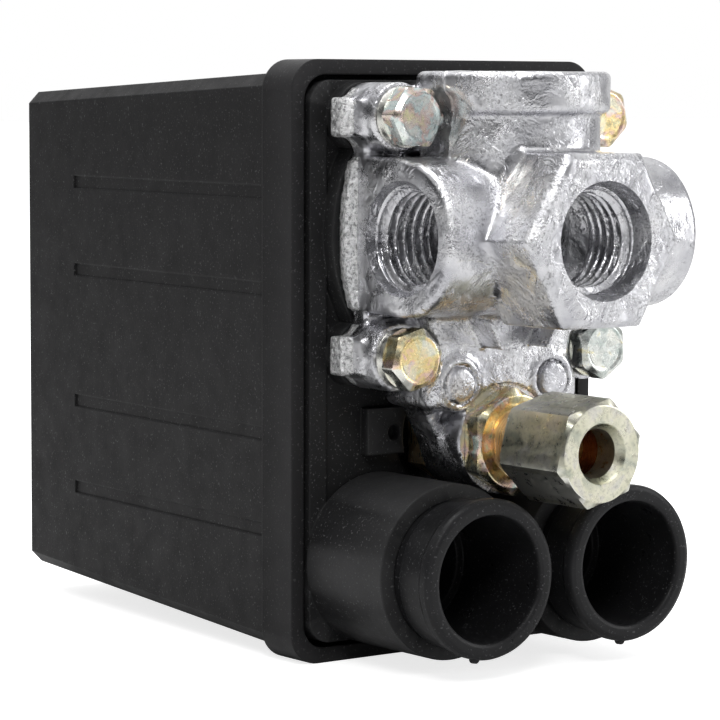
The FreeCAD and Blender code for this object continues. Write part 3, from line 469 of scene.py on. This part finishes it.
# name: (maker, its arguments after the name)
FINISHES = {
    "cover_plastic": (moulded_plastic, (0.0070, 0.0068, 0.0072), (0.0115, 0.0112, 0.0118), 0.46),
    "base_plastic": (moulded_plastic, (0.012, 0.012, 0.0125), (0.019, 0.019, 0.0195), 0.42),
    "sleeve_plastic": (moulded_plastic, (0.008, 0.008, 0.0085), (0.014, 0.014, 0.015), 0.32, 0.8, 0.01),
    "knob_plastic": (moulded_plastic, (0.30, 0.012, 0.010), (0.42, 0.022, 0.016), 0.32),
    "insulator": (moulded_plastic, (0.055, 0.022, 0.012), (0.090, 0.040, 0.022), 0.42),
    "rubber": (moulded_plastic, (0.012, 0.012, 0.012), (0.022, 0.022, 0.022), 0.62),
    "die_cast": (die_cast,),
    "broken_gate": (broken_metal,),
    "zinc_yellow": (plated_steel, YELLOW_ZINC, 0.24),
    "zinc_rainbow": (plated_steel, RAINBOW_ZINC, 0.24, 2.0),
    "zinc_pale": (plated_steel, PALE_ZINC, 0.24, 1.6),
    "zinc_olive": (plated_steel, OLIVE_ZINC, 0.30),
    "steel": (plated_steel, PLAIN_STEEL, 0.28),
    "spring_steel": (turned_metal, (0.30, 0.30, 0.32), (0.52, 0.52, 0.55), 0.26),
    "brass": (turned_metal, (0.88, 0.64, 0.38), (0.98, 0.80, 0.52), 0.28),
    "copper": (turned_metal, (0.42, 0.14, 0.07), (0.78, 0.36, 0.22), 0.26),
    "contact_metal": (turned_metal, (0.60, 0.46, 0.28), (0.84, 0.70, 0.50), 0.25),
}
MATERIALS = {name: maker(name, *details) for name, (maker, *details) in FINISHES.items()}

for node, slot_name in SLOTS.items():
    for material_slot in frame["nodes"][node].material_slots:
        material_slot.material = MATERIALS[slot_name]


# ---- manifold casting ----
CELL = 0.3  # spacing of the grid, in millimetres


def mirrored(p, vertical=False):
    """The grid folded over the middle plane, and over the level plane too if asked."""
    return [np.abs(p[0]), p[1], np.abs(p[2]) if vertical else p[2]]


def casting_distance(p):
    """The die-cast body before machining, as a signed distance in millimetres."""
    hexagon = sd_hexagon_y(p, HEX_AF, HEX_FACE_Y, HEX_FACE_Y + 12.1, 0.35)
    barrel = sd_rod(p, 1, (0, 0), MAIN_BARREL_R, HEX_FACE_Y + 2.0, FLANGE_BACK_Y - 2.0)
    body = blend_in(hexagon, barrel, 0.8)
    cross = sd_rod(p, 0, (PORT_Y, 0), CROSS_BARREL_R, LEFT_FACE_X, RIGHT_FACE_X, 0.9)
    body = blend_in(body, cross, 1.2)
    block = sd_box(p, (0, 20.6, 0.2), (-LEFT_FACE_X, 5.4, CROSS_BARREL_R), 0.7)
    body = blend_in(body, block, 0.9)
    neck = sd_rod(p, 2, (0, PORT_Y), NECK_R, 0.0, TOP_FACE_Z - 4.0)
    neck_back = sd_box(p, (0, 20.5, 8.0), (10.2, 5.2, 9.5), 1.0)
    body = blend_in(body, blend_in(neck, neck_back, 0.8), 1.1)
    collar = sd_rod(p, 2, (0, PORT_Y), COLLAR_R, TOP_FACE_Z - 5.1, TOP_FACE_Z, 0.9)
    body = blend_in(body, collar, 0.4)
    flange = sd_box(p, (0, FLANGE_MIDDLE_Y, 0), (17.0, 1.5, 18.6), 0.5)
    corner = np.hypot(np.maximum(np.abs(p[0]) - 12.3, 0), np.maximum(np.abs(p[2]) - 13.9, 0)) - 4.7
    body = blend_in(body, np.maximum(flange, corner), 0.6)
    body = blend_in(body, ear_distance(mirrored(p, True)), 0.7)
    return blend_in(blend_in(body, leg_distance(p), 1.2), rib_distance(mirrored(p)), 0.5)


def ear_distance(q):
    """Round bolt boss with a stepped tab that reaches out sideways and a web to the body."""
    z = BOLT_Z - 0.1
    boss = sd_rod(q, 1, (BOLT_X, BOLT_Z), 4.2, EAR_SEAT_Y, FLANGE_BACK_Y - 0.2, 0.35)
    tab = sd_box(q, (18.6, FLANGE_MIDDLE_Y, z), (1.9, 1.45, 2.45), 0.4)
    block = sd_box(q, (18.0, 22.9, z), (1.35, 2.3, 2.25), 0.35)
    notch = sd_box(q, (16.0, 23.4, z), (1.3, 2.4, 1.9), 0.3)
    web = sd_box(q, (10.6, 22.6, BOLT_Z - 1.2), (4.2, 3.2, 3.2), 1.0)
    outer = blend_in(blend_in(tab, block, 0.35), notch, 0.35)
    return blend_in(blend_in(boss, outer, 0.5), web, 1.6)


def rib_distance(q):
    """Two small slanted ribs between the barrel's underside and the pad."""
    slant = q[0] - 4.35 - (q[2] + 12.6) * 0.55
    reach = np.maximum(np.abs(q[2] + 12.0) - 1.9, np.abs(q[1] - 14.6) - 2.4)
    return np.maximum(np.abs(slant) - 0.35, reach)


def leg_distance(p):
    """Pad with two round buttons, and the V-shaped leg with raised side rails below it."""
    pad = sd_box(p, (0, 21.0, -14.9), (12.0, 4.8, 6.3), 1.1)
    outline = [(-11.3, -16.0), (-10.9, -19.4), (-4.6, -30.4), (4.6, -30.4), (10.9, -19.4), (11.3, -16.0)]
    leg = sd_outline_y(p, outline, 20.3, FLANGE_BACK_Y - 0.5, 0.4)
    inside = [(x * 0.82, z * 0.965 if z < -25 else z) for x, z in outline]
    hollow = sd_outline_y(p, inside, 17.0, 21.5, 0.3)
    leg = carve(leg, hollow, 0.4)
    seat = sd_rod(p, 1, (0, VALVE_Z), VALVE_SEAT_R, VALVE_SEAT_Y, FLANGE_BACK_Y - 0.5, 0.2)
    q = mirrored(p)
    button = sd_rod(q, 1, (BUTTON_X, BUTTON_Z), 2.2, 15.5, 19.0, 0.25)
    moat = sd_rod(q, 1, (BUTTON_X, BUTTON_Z), 2.6, 15.95, 16.3, 0.1)
    rim = sd_rod(q, 1, (BUTTON_X, BUTTON_Z), 3.3, 16.0, 22.0, 0.5)
    pad = carve(blend_in(pad, rim, 1.0), moat, 0.2)
    pad = blend_in(pad, button, 0.2)
    return blend_in(blend_in(leg, seat, 0.6), pad, 1.2)


def casting_holes(p):
    """Round seats for the bolt heads and the valve, and the holes and passages behind them."""
    q = mirrored(p, True)
    in_front = 9.0
    behind = 30.0
    holes = [sd_rod(q, 1, (BOLT_X, BOLT_Z), 4.6, in_front, EAR_SEAT_Y, 0.2),
             sd_rod(q, 1, (BOLT_X, BOLT_Z), BOLT_R + 0.3, in_front, behind),
             sd_rod(p, 1, (0, VALVE_Z), 7.3, in_front, VALVE_SEAT_Y, 0.2),
             sd_rod(p, 1, (0, VALVE_Z), 7.2, 25.3, behind, 0.1),
             sd_rod(p, 1, (0, VALVE_Z), 4.2, 10.0, behind),
             sd_rod(p, 1, (0, 0), 10.2, 24.3, behind, 0.1),
             sd_rod(p, 1, (0, 0), PASSAGE_R, 5.0, behind),
             sd_rod(p, 0, (PORT_Y, 0), PASSAGE_R, LEFT_FACE_X + 5.0, RIGHT_FACE_X - 5.0),
             sd_rod(p, 2, (0, PORT_Y), PASSAGE_R, 0.0, TOP_FACE_Z - 5.0)]
    result = holes[0]
    for hole in holes[1:]:
        result = np.minimum(result, hole)
    return result


def flash_distance(p):
    """Torn strip of flash along the back edge of the left face, which bulges out at mid height."""
    bulge = 1.5 * np.clip(1 - (p[2] / CROSS_BARREL_R) ** 2, 0, 1)
    centre = (LEFT_FACE_X + 0.8, FLANGE_BACK_Y - 0.9, 0.2)
    strip = sd_box((p[0] + bulge, p[1], p[2]), centre, (1.2, 0.75, 9.2), 0.3)
    return strip - 0.07 * smooth_noise(strip.shape, 2.2, 8)


def seam_distance(p, distance):
    """Fine parting line of the die over the neck and collar of the top port."""
    half_width = 0.15
    proud = 0.16
    reach_x = 12.5
    lowest_z = 9.9
    line = np.maximum(np.abs(p[1] - PORT_Y + 1.0) - half_width, distance - proud)
    line = np.maximum(line, np.abs(p[0]) - reach_x)
    return np.maximum(line, lowest_z - p[2])


def casting():
    """The whole casting with its holes, flash, parting line and broken-off gates."""
    margin = 1.5
    corner = (-22.0, HEX_FACE_Y - margin, LEG_TIP_Z - margin)
    far = (RIGHT_FACE_X + margin, FLANGE_BACK_Y + margin, TOP_FACE_Z + margin)
    axes = [np.arange(a, b, CELL) for a, b in zip(corner, far)]
    p = np.meshgrid(*axes, indexing="ij")
    distance = carve(casting_distance(p), casting_holes(p), 0.3)
    distance = np.minimum(np.minimum(distance, seam_distance(p, distance)), flash_distance(p))
    broad = smooth_noise(distance.shape, 9.0, 4)
    close = smooth_noise(distance.shape, 3.0, 6)
    distance = distance + 0.05 * broad + 0.02 * close
    distance = np.maximum(distance, p[1] - FLANGE_BACK_Y)
    points, faces = surface_of(distance, corner, CELL)
    piece = add_piece("manifold_casting", points, faces, HOUSING, "die_cast", 60.0)
    mark_broken_metal(piece)
    return piece


def mark_broken_metal(piece):
    """Gives the ends of the ears' tabs and the strip of flash the look of broken metal."""
    tab_end_x = 19.3
    tab_front_y = 22.0
    strip_front_y = FLANGE_BACK_Y - 1.9
    piece.data.materials.append(MATERIALS["broken_gate"])
    for polygon in piece.data.polygons:
        x, y, _ = polygon.center / MM
        tab_end = abs(x) > tab_end_x and y > tab_front_y
        torn_strip = x < LEFT_FACE_X + 0.1 and y > strip_front_y
        if tab_end or torn_strip:
            polygon.material_index = 1


# ---- turned pieces ----
AXIS_FRAMES = {0: (1, 2), 1: (0, 2), 2: (0, 1)}


def turned_points(profile, axis, centre, around, outline=None):
    """Rings of points from (along, radius) pairs; outline(angle) limits the radius, as for a hexagon."""
    u, v = AXIS_FRAMES[axis]
    points = []
    for along, radius in profile:
        for j in range(around):
            angle = 2 * math.pi * j / around
            limited = min(radius, outline(angle)) if outline else radius
            point = [0.0, 0.0, 0.0]
            point[axis] = along
            point[u] = centre[0] + limited * math.cos(angle)
            point[v] = centre[1] + limited * math.sin(angle)
            points.append(point)
    return points


def outward(mesh):
    """Turns every face of a closed mesh outwards."""
    work = bmesh.new()
    work.from_mesh(mesh)
    bmesh.ops.recalc_face_normals(work, faces=work.faces)
    work.to_mesh(mesh)
    work.free()


def turned_piece(name, profile, centre, slot, around=96, outline=None, closed=True):
    """Turned or hexagonal piece along Y; closed joins the last ring to the first, for a piece with a bore."""
    sharp = 18.0
    points = turned_points(profile, 1, centre, around, outline)
    faces = grid_faces(len(profile), around) if closed else capped_faces(len(profile), around)
    piece = add_piece(name, points, faces, HOUSING, slot, sharp)
    outward(piece.data)
    piece.data.set_sharp_from_angle(angle=math.radians(sharp))
    return piece


def cutter_from(profiles):
    """One mesh object from separate turned solids, given as (profile, axis, centre)."""
    around = 128
    points = []
    faces = []
    for profile, axis, centre in profiles:
        first = len(points)
        points += turned_points(profile, axis, centre, around)
        faces += [tuple(first + i for i in face) for face in capped_faces(len(profile), around)]
    mesh = bpy.data.meshes.new("cutter")
    mesh.from_pydata([tuple(c * MM for c in q) for q in points], [], faces)
    outward(mesh)
    cutter = bpy.data.objects.new("cutter", mesh)
    bpy.context.scene.collection.objects.link(cutter)
    return cutter


def cut(piece, cutter):
    """Takes the cutter out of the piece and keeps the result."""
    modifier = piece.modifiers.new("machined", "BOOLEAN")
    modifier.object = cutter
    modifier.operation = "DIFFERENCE"
    modifier.solver = "EXACT"
    graph = bpy.context.evaluated_depsgraph_get()
    result = bpy.data.meshes.new_from_object(piece.evaluated_get(graph))
    piece.modifiers.remove(modifier)
    piece.data = result
    piece.data.set_sharp_from_angle(angle=math.radians(40.0))
    bpy.data.objects.remove(cutter)


# thread's name, mouth, inward direction, axis, centre, countersink, mouth radius, bore depth, thread length
PORTS = [("main_thread", HEX_FACE_Y, 1, 1, (0, 0), 2.6, 7.25, 10.8, 8.1),
         ("left_thread", LEFT_FACE_X, 1, 0, (PORT_Y, 0), 0.9, 7.05, 9.6, 8.6),
         ("right_thread", RIGHT_FACE_X, -1, 0, (PORT_Y, 0), 0.9, 7.05, 9.6, 8.6),
         ("top_thread", TOP_FACE_Z, -1, 2, (0, PORT_Y), 0.9, 7.05, 9.6, 8.6)]


def port_profile(mouth, inward, depth, countersink, mouth_r):
    """Countersink, bore and drill point of a port; inward is +1 or -1 along its axis."""
    reach = [-1.0, 0.0, countersink, depth, depth + 1.0]
    radius = [mouth_r, mouth_r, THREAD_R, THREAD_R, 5.0]
    return [(mouth + inward * a, r) for a, r in zip(reach, radius)]


def machine_ports(piece):
    """Cuts the four ports, then lines each with its thread."""
    cut(piece, cutter_from([(port_profile(mouth, inward, depth, countersink, mouth_r), axis, centre)
                            for _, mouth, inward, axis, centre, countersink, mouth_r, depth, _ in PORTS]))
    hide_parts("manifold")
    for name, mouth, inward, axis, centre, countersink, _, _, length in PORTS:
        port_thread(name, mouth + inward * countersink, inward, length, axis, centre)


def thread_ridge(phase):
    """Height of a thread's ridge, 0 at the root and 1 at the crest, rounded at both."""
    wave = 0.5 + 0.5 * math.cos(2 * math.pi * phase)
    return min(1.0, max(0.0, 1.25 * wave - 0.12)) ** 0.85


def port_thread(name, start, inward, length, axis, centre):
    """The ridges of a pipe thread as a sleeve that lines the port's wall."""
    around = 120
    steps = int(length / THREAD_PITCH * 12)
    run_out = 0.9
    wall_r = THREAD_R + 0.05
    u, v = AXIS_FRAMES[axis]
    points = []
    for i in range(steps + 1):
        along = length * i / steps
        fade = min(1.0, along / run_out, (length - along) / run_out)
        for j in range(around):
            angle = 2 * math.pi * j / around
            radius = THREAD_R - RIDGE_H * fade * thread_ridge(along / THREAD_PITCH - j / around)
            point = [0.0, 0.0, 0.0]
            point[axis] = start + inward * along
            point[u] = centre[0] + radius * math.cos(angle)
            point[v] = centre[1] + radius * math.sin(angle)
            points.append(point)
    outer = [(start + inward * length, wall_r), (start, wall_r)]
    points += turned_points(outer, axis, centre, around)
    piece = add_piece(name, points, grid_faces(steps + 3, around), HOUSING, "die_cast", 50.0)
    outward(piece.data)
    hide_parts("manifold")


# ---- bolts and unloader valve ----
def hexagon_outline(across_flats, turn):
    """Outline of a hexagon turned by some degrees, with its corners slightly cut back."""
    corner_r = across_flats / math.sqrt(3) - 0.06
    return lambda angle: min(corner_r, hexagon_radius(across_flats, angle - math.radians(turn)))


def flange_bolt(name, x, z, turn, finish):
    """Hexagon head with a turned chamfer and a shallow dished face, and its shank."""
    front = BOLT_FRONT_Y
    flat = BOLT_AF / 2
    past_corner = flat + 0.60
    profile = [(front + 0.12, 0.01), (front + 0.12, flat - 1.0), (front + 0.02, flat - 0.75),
               (front, flat - 0.6), (front + 0.03, flat - 0.45), (front + 0.50, flat + 0.36),
               (front + 0.62, past_corner), (BOLT_SEAT_Y - 0.08, past_corner), (BOLT_SEAT_Y, flat + 0.50),
               (BOLT_SEAT_Y, BOLT_R), (BOLT_END_Y, BOLT_R)]
    piece = turned_piece(name, profile, (x, z), "zinc_yellow", 120, hexagon_outline(BOLT_AF, turn), False)
    piece.data.materials[0] = MATERIALS[finish]
    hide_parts("flange_bolts")


def valve_neck(centre):
    """Threaded brass neck between the valve's hexagon and the compression nut."""
    pitch = 0.5
    run_in = 0.6
    crest = VALVE_NECK_R - 0.02
    root = VALVE_NECK_R - 0.34
    end = VALVE_HEX_Y + 0.1
    profile = [(VALVE_FRONT_Y, TUBE_R), (VALVE_FRONT_Y, VALVE_NECK_R - 0.45),
               (VALVE_FRONT_Y + 0.45, VALVE_NECK_R)]
    grooves = int((VALVE_HEX_Y - run_in - VALVE_FRONT_Y - run_in) / pitch)
    for i in range(grooves):
        y = VALVE_FRONT_Y + run_in + pitch * i
        profile += [(y, crest), (y + 0.12, root), (y + 0.25, root), (y + 0.37, crest)]
    profile += [(end, VALVE_NECK_R - 0.3), (end, TUBE_R), (10.0, TUBE_R)]
    piece = turned_piece("valve_neck_turned", profile, centre, "brass", 120)
    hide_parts("unloader_valve_body")


def valve_hexagon(centre):
    """The valve body's plated hexagon against the leg, and its hollow shank."""
    front = VALVE_HEX_Y
    seat = VALVE_SEAT_Y
    shank_r = 4.05
    bore_r = 2.4
    profile = [(front, 4.3), (front, 5.75), (front + 0.06, 5.9), (front + 0.60, 6.85), (seat - 0.1, 6.85),
               (seat, 6.7), (seat, shank_r), (VALVE_BACK_Y, shank_r), (VALVE_BACK_Y, bore_r),
               (front + 1.0, bore_r), (front + 0.4, 3.0)]
    outline = hexagon_outline(VALVE_AF, 90.0)
    piece = turned_piece("valve_hexagon_turned", profile, centre, "brass", 120, outline)
    piece.data.materials[0] = MATERIALS["zinc_yellow"]
    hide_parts("unloader_valve_body")


def compression_nut(centre):
    """Plated hexagon nut with a countersunk tube hole."""
    front = low("compression_nut")[1]
    back = high("compression_nut")[1]
    thread_r = 4.75
    profile = [(front + 1.15, TUBE_R), (front + 0.08, 3.70), (front, 3.80), (front, 5.80),
               (front + 0.05, 5.95), (front + 0.60, 6.87), (back - 0.25, 6.87), (back, 6.5),
               (back, thread_r), (2.4, thread_r), (2.2, TUBE_R)]
    piece = turned_piece("nut_turned", profile, centre, "zinc_olive", 120, hexagon_outline(VALVE_AF, 15.0))
    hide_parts("compression_nut")


def ferrule(centre):
    """Copper ring, tapered at both ends, that the nut squeezes on the tube."""
    profile = [(2.25, TUBE_R), (2.25, 3.3), (2.45, 3.6), (3.2, 4.15), (4.95, 3.45), (4.95, TUBE_R)]
    piece = turned_piece("ferrule_turned", profile, centre, "copper")
    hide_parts("ferrule")


# ---- plastic pieces ----
def sleeve(name, node, side, nub_angle):
    """Flared sleeve with a rounded lip, a slightly conical barrel and a plug, and a nub under its lip."""
    start = low("cable_sleeve_right")[1]
    end = high("cable_sleeve_right")[1]
    lip_r = high("cable_sleeve_right")[0] - SOCKET_X
    bore_r = SLEEVE_BORE_R
    plug_r = 8.75
    plug_bore_r = 6.6
    step_y = start + 15.0
    profile = [(step_y, bore_r), (start + 0.55, bore_r), (start + 0.15, bore_r + 0.18),
               (start, bore_r + 0.55), (start, lip_r - 0.65), (start + 0.18, lip_r - 0.18),
               (start + 0.60, lip_r), (start + 1.5, lip_r), (start + 1.8, lip_r - 0.12),
               (start + 2.0, lip_r - 0.30),
               (start + 6.1, lip_r - 0.55), (start + 6.4, lip_r - 0.80), (start + 6.5, plug_r),
               (end, plug_r), (end, plug_bore_r), (step_y, plug_bore_r)]
    piece = turned_piece(name, profile, (side * SOCKET_X, SOCKET_Z), "sleeve_plastic", 128)
    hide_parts(node)
    angle = math.radians(nub_angle)
    x = side * SOCKET_X + (lip_r - 0.1) * math.cos(angle)
    z = SOCKET_Z + (lip_r - 0.1) * math.sin(angle)
    nub = [(start + 0.7, 0.3), (start + 0.75, 0.55), (start + 1.4, 0.6), (start + 1.5, 0.35)]
    turned_piece(name + "_nub", nub, (x, z), "sleeve_plastic", 20, closed=False)


# ---- springs ----
def coil(name, node, wire_r, turns, shown):
    """Turns shown[0] to shown[1] of a closed-ended spring along Y."""
    start, end = low(node), high(node)
    coil_r = (end[0] - start[0]) / 2 - wire_r
    centre_x, centre_z = (start[0] + end[0]) / 2, (start[2] + end[2]) / 2
    closed_pitch = 2.1 * wire_r
    first_y, last_y = start[1] + wire_r, end[1] - wire_r
    turn_marks = [0, 1, turns - 1, turns]
    y_marks = [first_y, first_y + closed_pitch, last_y - closed_pitch, last_y]
    steps = 32
    around = 12
    rings = (shown[1] - shown[0]) * steps + 1
    points = []
    for i in range(rings):
        turn = shown[0] + i / steps
        y = float(np.interp(turn, turn_marks, y_marks))
        angle = 2 * math.pi * turn
        for j in range(around):
            wire_angle = 2 * math.pi * j / around
            radius = coil_r + wire_r * math.cos(wire_angle)
            points.append((centre_x + radius * math.cos(angle), y + wire_r * math.sin(wire_angle),
                           centre_z + radius * math.sin(angle)))
    piece = add_piece(name, points, capped_faces(rings, around), None, SLOTS[node])
    outward(piece.data)
    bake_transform(piece)
    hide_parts(node)


def springs():
    """The range spring between lever and seat, in two halves, and the unloader's spring."""
    wire_r = 0.85
    coil("main_spring_front", "main_spring", wire_r, 8, (0, 4))
    coil("main_spring_back", "main_spring", wire_r, 8, (4, 8))
    wire_r = 0.25
    coil("unloader_spring_coil", "unloader_spring", wire_r, 6, (0, 6))


# ---- assembly ----
# name, side in X, side in Z, turn of the head in degrees, finish
BOLTS = [("bolt_upper_left", -1, 1, 57.0, "zinc_rainbow"),
         ("bolt_upper_right", 1, 1, 42.0, "zinc_yellow"),
         ("bolt_lower_left", -1, -1, 15.0, "zinc_yellow"),
         ("bolt_lower_right", 1, -1, 33.0, "zinc_pale")]
VALVE_CENTRE = (0, VALVE_Z)

machine_ports(casting())
for bolt_name, side_x, side_z, turn, finish in BOLTS:
    flange_bolt(bolt_name, side_x * BOLT_X, side_z * BOLT_Z, turn, finish)
valve_neck(VALVE_CENTRE)
valve_hexagon(VALVE_CENTRE)
compression_nut(VALVE_CENTRE)
ferrule(VALVE_CENTRE)
sleeve("sleeve_left_turned", "cable_sleeve_left", -1, -100)
sleeve("sleeve_right_turned", "cable_sleeve_right", 1, -95)
springs()


# ---- camera, light and floor ----
# degrees for angles; millimetres for the distance, the aim and the lens
CAMERA_AZIMUTH = -36.91
CAMERA_ELEVATION = 4.96
CAMERA_ROLL = 0.16
CAMERA_DISTANCE = 375.8
CAMERA_AIM = (-19.97, 20.0, -14.86)
CAMERA_LENS = 153.86


def make_camera():
    """Camera at the viewing angle given above."""
    azimuth = math.radians(CAMERA_AZIMUTH)
    elevation = math.radians(CAMERA_ELEVATION)
    forward = Vector((-math.sin(azimuth) * math.cos(elevation), math.cos(azimuth) * math.cos(elevation),
                      -math.sin(elevation)))
    camera = bpy.data.objects.new("camera", bpy.data.cameras.new("camera"))
    camera.data.lens = CAMERA_LENS
    camera.data.sensor_width = 36.0
    camera.data.clip_start = 0.01
    turn = forward.to_track_quat("-Z", "Y").to_matrix().to_4x4()
    turn = turn @ Matrix.Rotation(math.radians(CAMERA_ROLL), 4, "Z")
    camera.matrix_world = Matrix.Translation(Vector(CAMERA_AIM) * MM - forward * CAMERA_DISTANCE * MM) @ turn
    bpy.context.scene.collection.objects.link(camera)
    bpy.context.scene.camera = camera


def area_light(name, place, aim, size, watts):
    """Soft rectangular lamp; place, aim and size are in metres."""
    lamp = bpy.data.lights.new(name, "AREA")
    lamp.shape = "RECTANGLE"
    lamp.size, lamp.size_y = size
    lamp.energy = watts
    light = bpy.data.objects.new(name, lamp)
    direction = Vector(aim) - Vector(place)
    turn = direction.to_track_quat("-Z", "Y").to_matrix().to_4x4()
    light.matrix_world = Matrix.Translation(Vector(place)) @ turn
    bpy.context.scene.collection.objects.link(light)


def make_floor():
    """Pale floor at the part's foot, which the camera sees as white."""
    half = 6.0
    z = cad_box[0][2]
    corners = [(-half, -half, z), (half, -half, z), (half, half, z), (-half, half, z)]
    mesh = bpy.data.meshes.new("floor")
    mesh.from_pydata(corners, [], [(0, 1, 2, 3)])
    floor = bpy.data.objects.new("floor", mesh)
    material, tree, shader, place = material_nodes("floor")
    shade = ramp(tree, noise(tree, place, 400.0, 2.0), [(0.3, 0.66), (0.7, 0.70)])
    tree.links.new(shade, shader.inputs["Base Color"])
    shader.inputs["Roughness"].default_value = 0.8
    shader.inputs["Specular IOR Level"].default_value = 0.2
    shader.inputs["Emission Color"].default_value = (1.0, 1.0, 1.0, 1.0)
    seen = tree.nodes.new("ShaderNodeLightPath").outputs["Is Camera Ray"]
    tree.links.new(math_node(tree, "MULTIPLY", seen, 0.78), shader.inputs["Emission Strength"])
    mesh.materials.append(material)
    bpy.context.scene.collection.objects.link(floor)


def facing(tree, direction, towards):
    """Cosine between the direction looked in and a fixed one."""
    node = tree.nodes.new("ShaderNodeVectorMath")
    node.operation = "DOT_PRODUCT"
    node.inputs[1].default_value = towards
    tree.links.new(direction, node.inputs[0])
    return node.outputs["Value"]


def make_world():
    """Studio surround: white behind the part, bright overhead, dark patches elsewhere, dimmer on the left."""
    world = bpy.data.worlds.new("studio")
    world.use_nodes = True
    tree = world.node_tree
    background = tree.nodes["Background"]
    direction = tree.nodes.new("ShaderNodeTexCoord").outputs["Generated"]
    backdrop = remap(tree, facing(tree, direction, (0.60, 0.80, 0.0)), 0.45, 0.95, 0.0, 1.0)
    patches = tree.nodes.new("ShaderNodeTexNoise")
    patches.inputs["Scale"].default_value = 2.2
    patches.inputs["Detail"].default_value = 1.0
    tree.links.new(direction, patches.inputs["Vector"])
    tones = [(0.42, (0.035, 0.038, 0.045)), (0.58, (0.50, 0.50, 0.51))]
    surround = ramp(tree, patches.outputs["Fac"], tones)
    dimmed = remap(tree, facing(tree, direction, (-1.0, 0.0, 0.0)), 0.0, 0.7, 1.0, 0.30)
    surround = mix(tree, 1.0, surround, dimmed, "MULTIPLY")
    height = tree.nodes.new("ShaderNodeSeparateXYZ")
    tree.links.new(direction, height.inputs[0])
    overhead = ramp(tree, height.outputs["Z"], [(0.35, 0.0), (0.85, 0.75)])
    surround = mix(tree, 1.0, surround, overhead, "ADD")
    shade = mix(tree, backdrop, surround, (0.95, 0.95, 0.95))
    seen = tree.nodes.new("ShaderNodeLightPath").outputs["Is Camera Ray"]
    shade = mix(tree, seen, shade, (1.0, 1.0, 1.0))
    tree.links.new(shade, background.inputs["Color"])
    background.inputs["Strength"].default_value = 1.0
    bpy.context.scene.world = world


make_camera()
make_floor()
make_world()
area_light("key", (-0.55, -0.60, 0.70), (0, 0.03, -0.01), (0.30, 0.30), 3.6)
area_light("side", (0.70, -0.50, 0.24), (0, 0.03, -0.01), (0.16, 0.60), 1.7)
area_light("top", (0.0, 0.15, 0.90), (0, 0.03, 0.0), (0.7, 0.7), 5.5)
bpy.context.scene.view_settings.view_transform = "Standard"
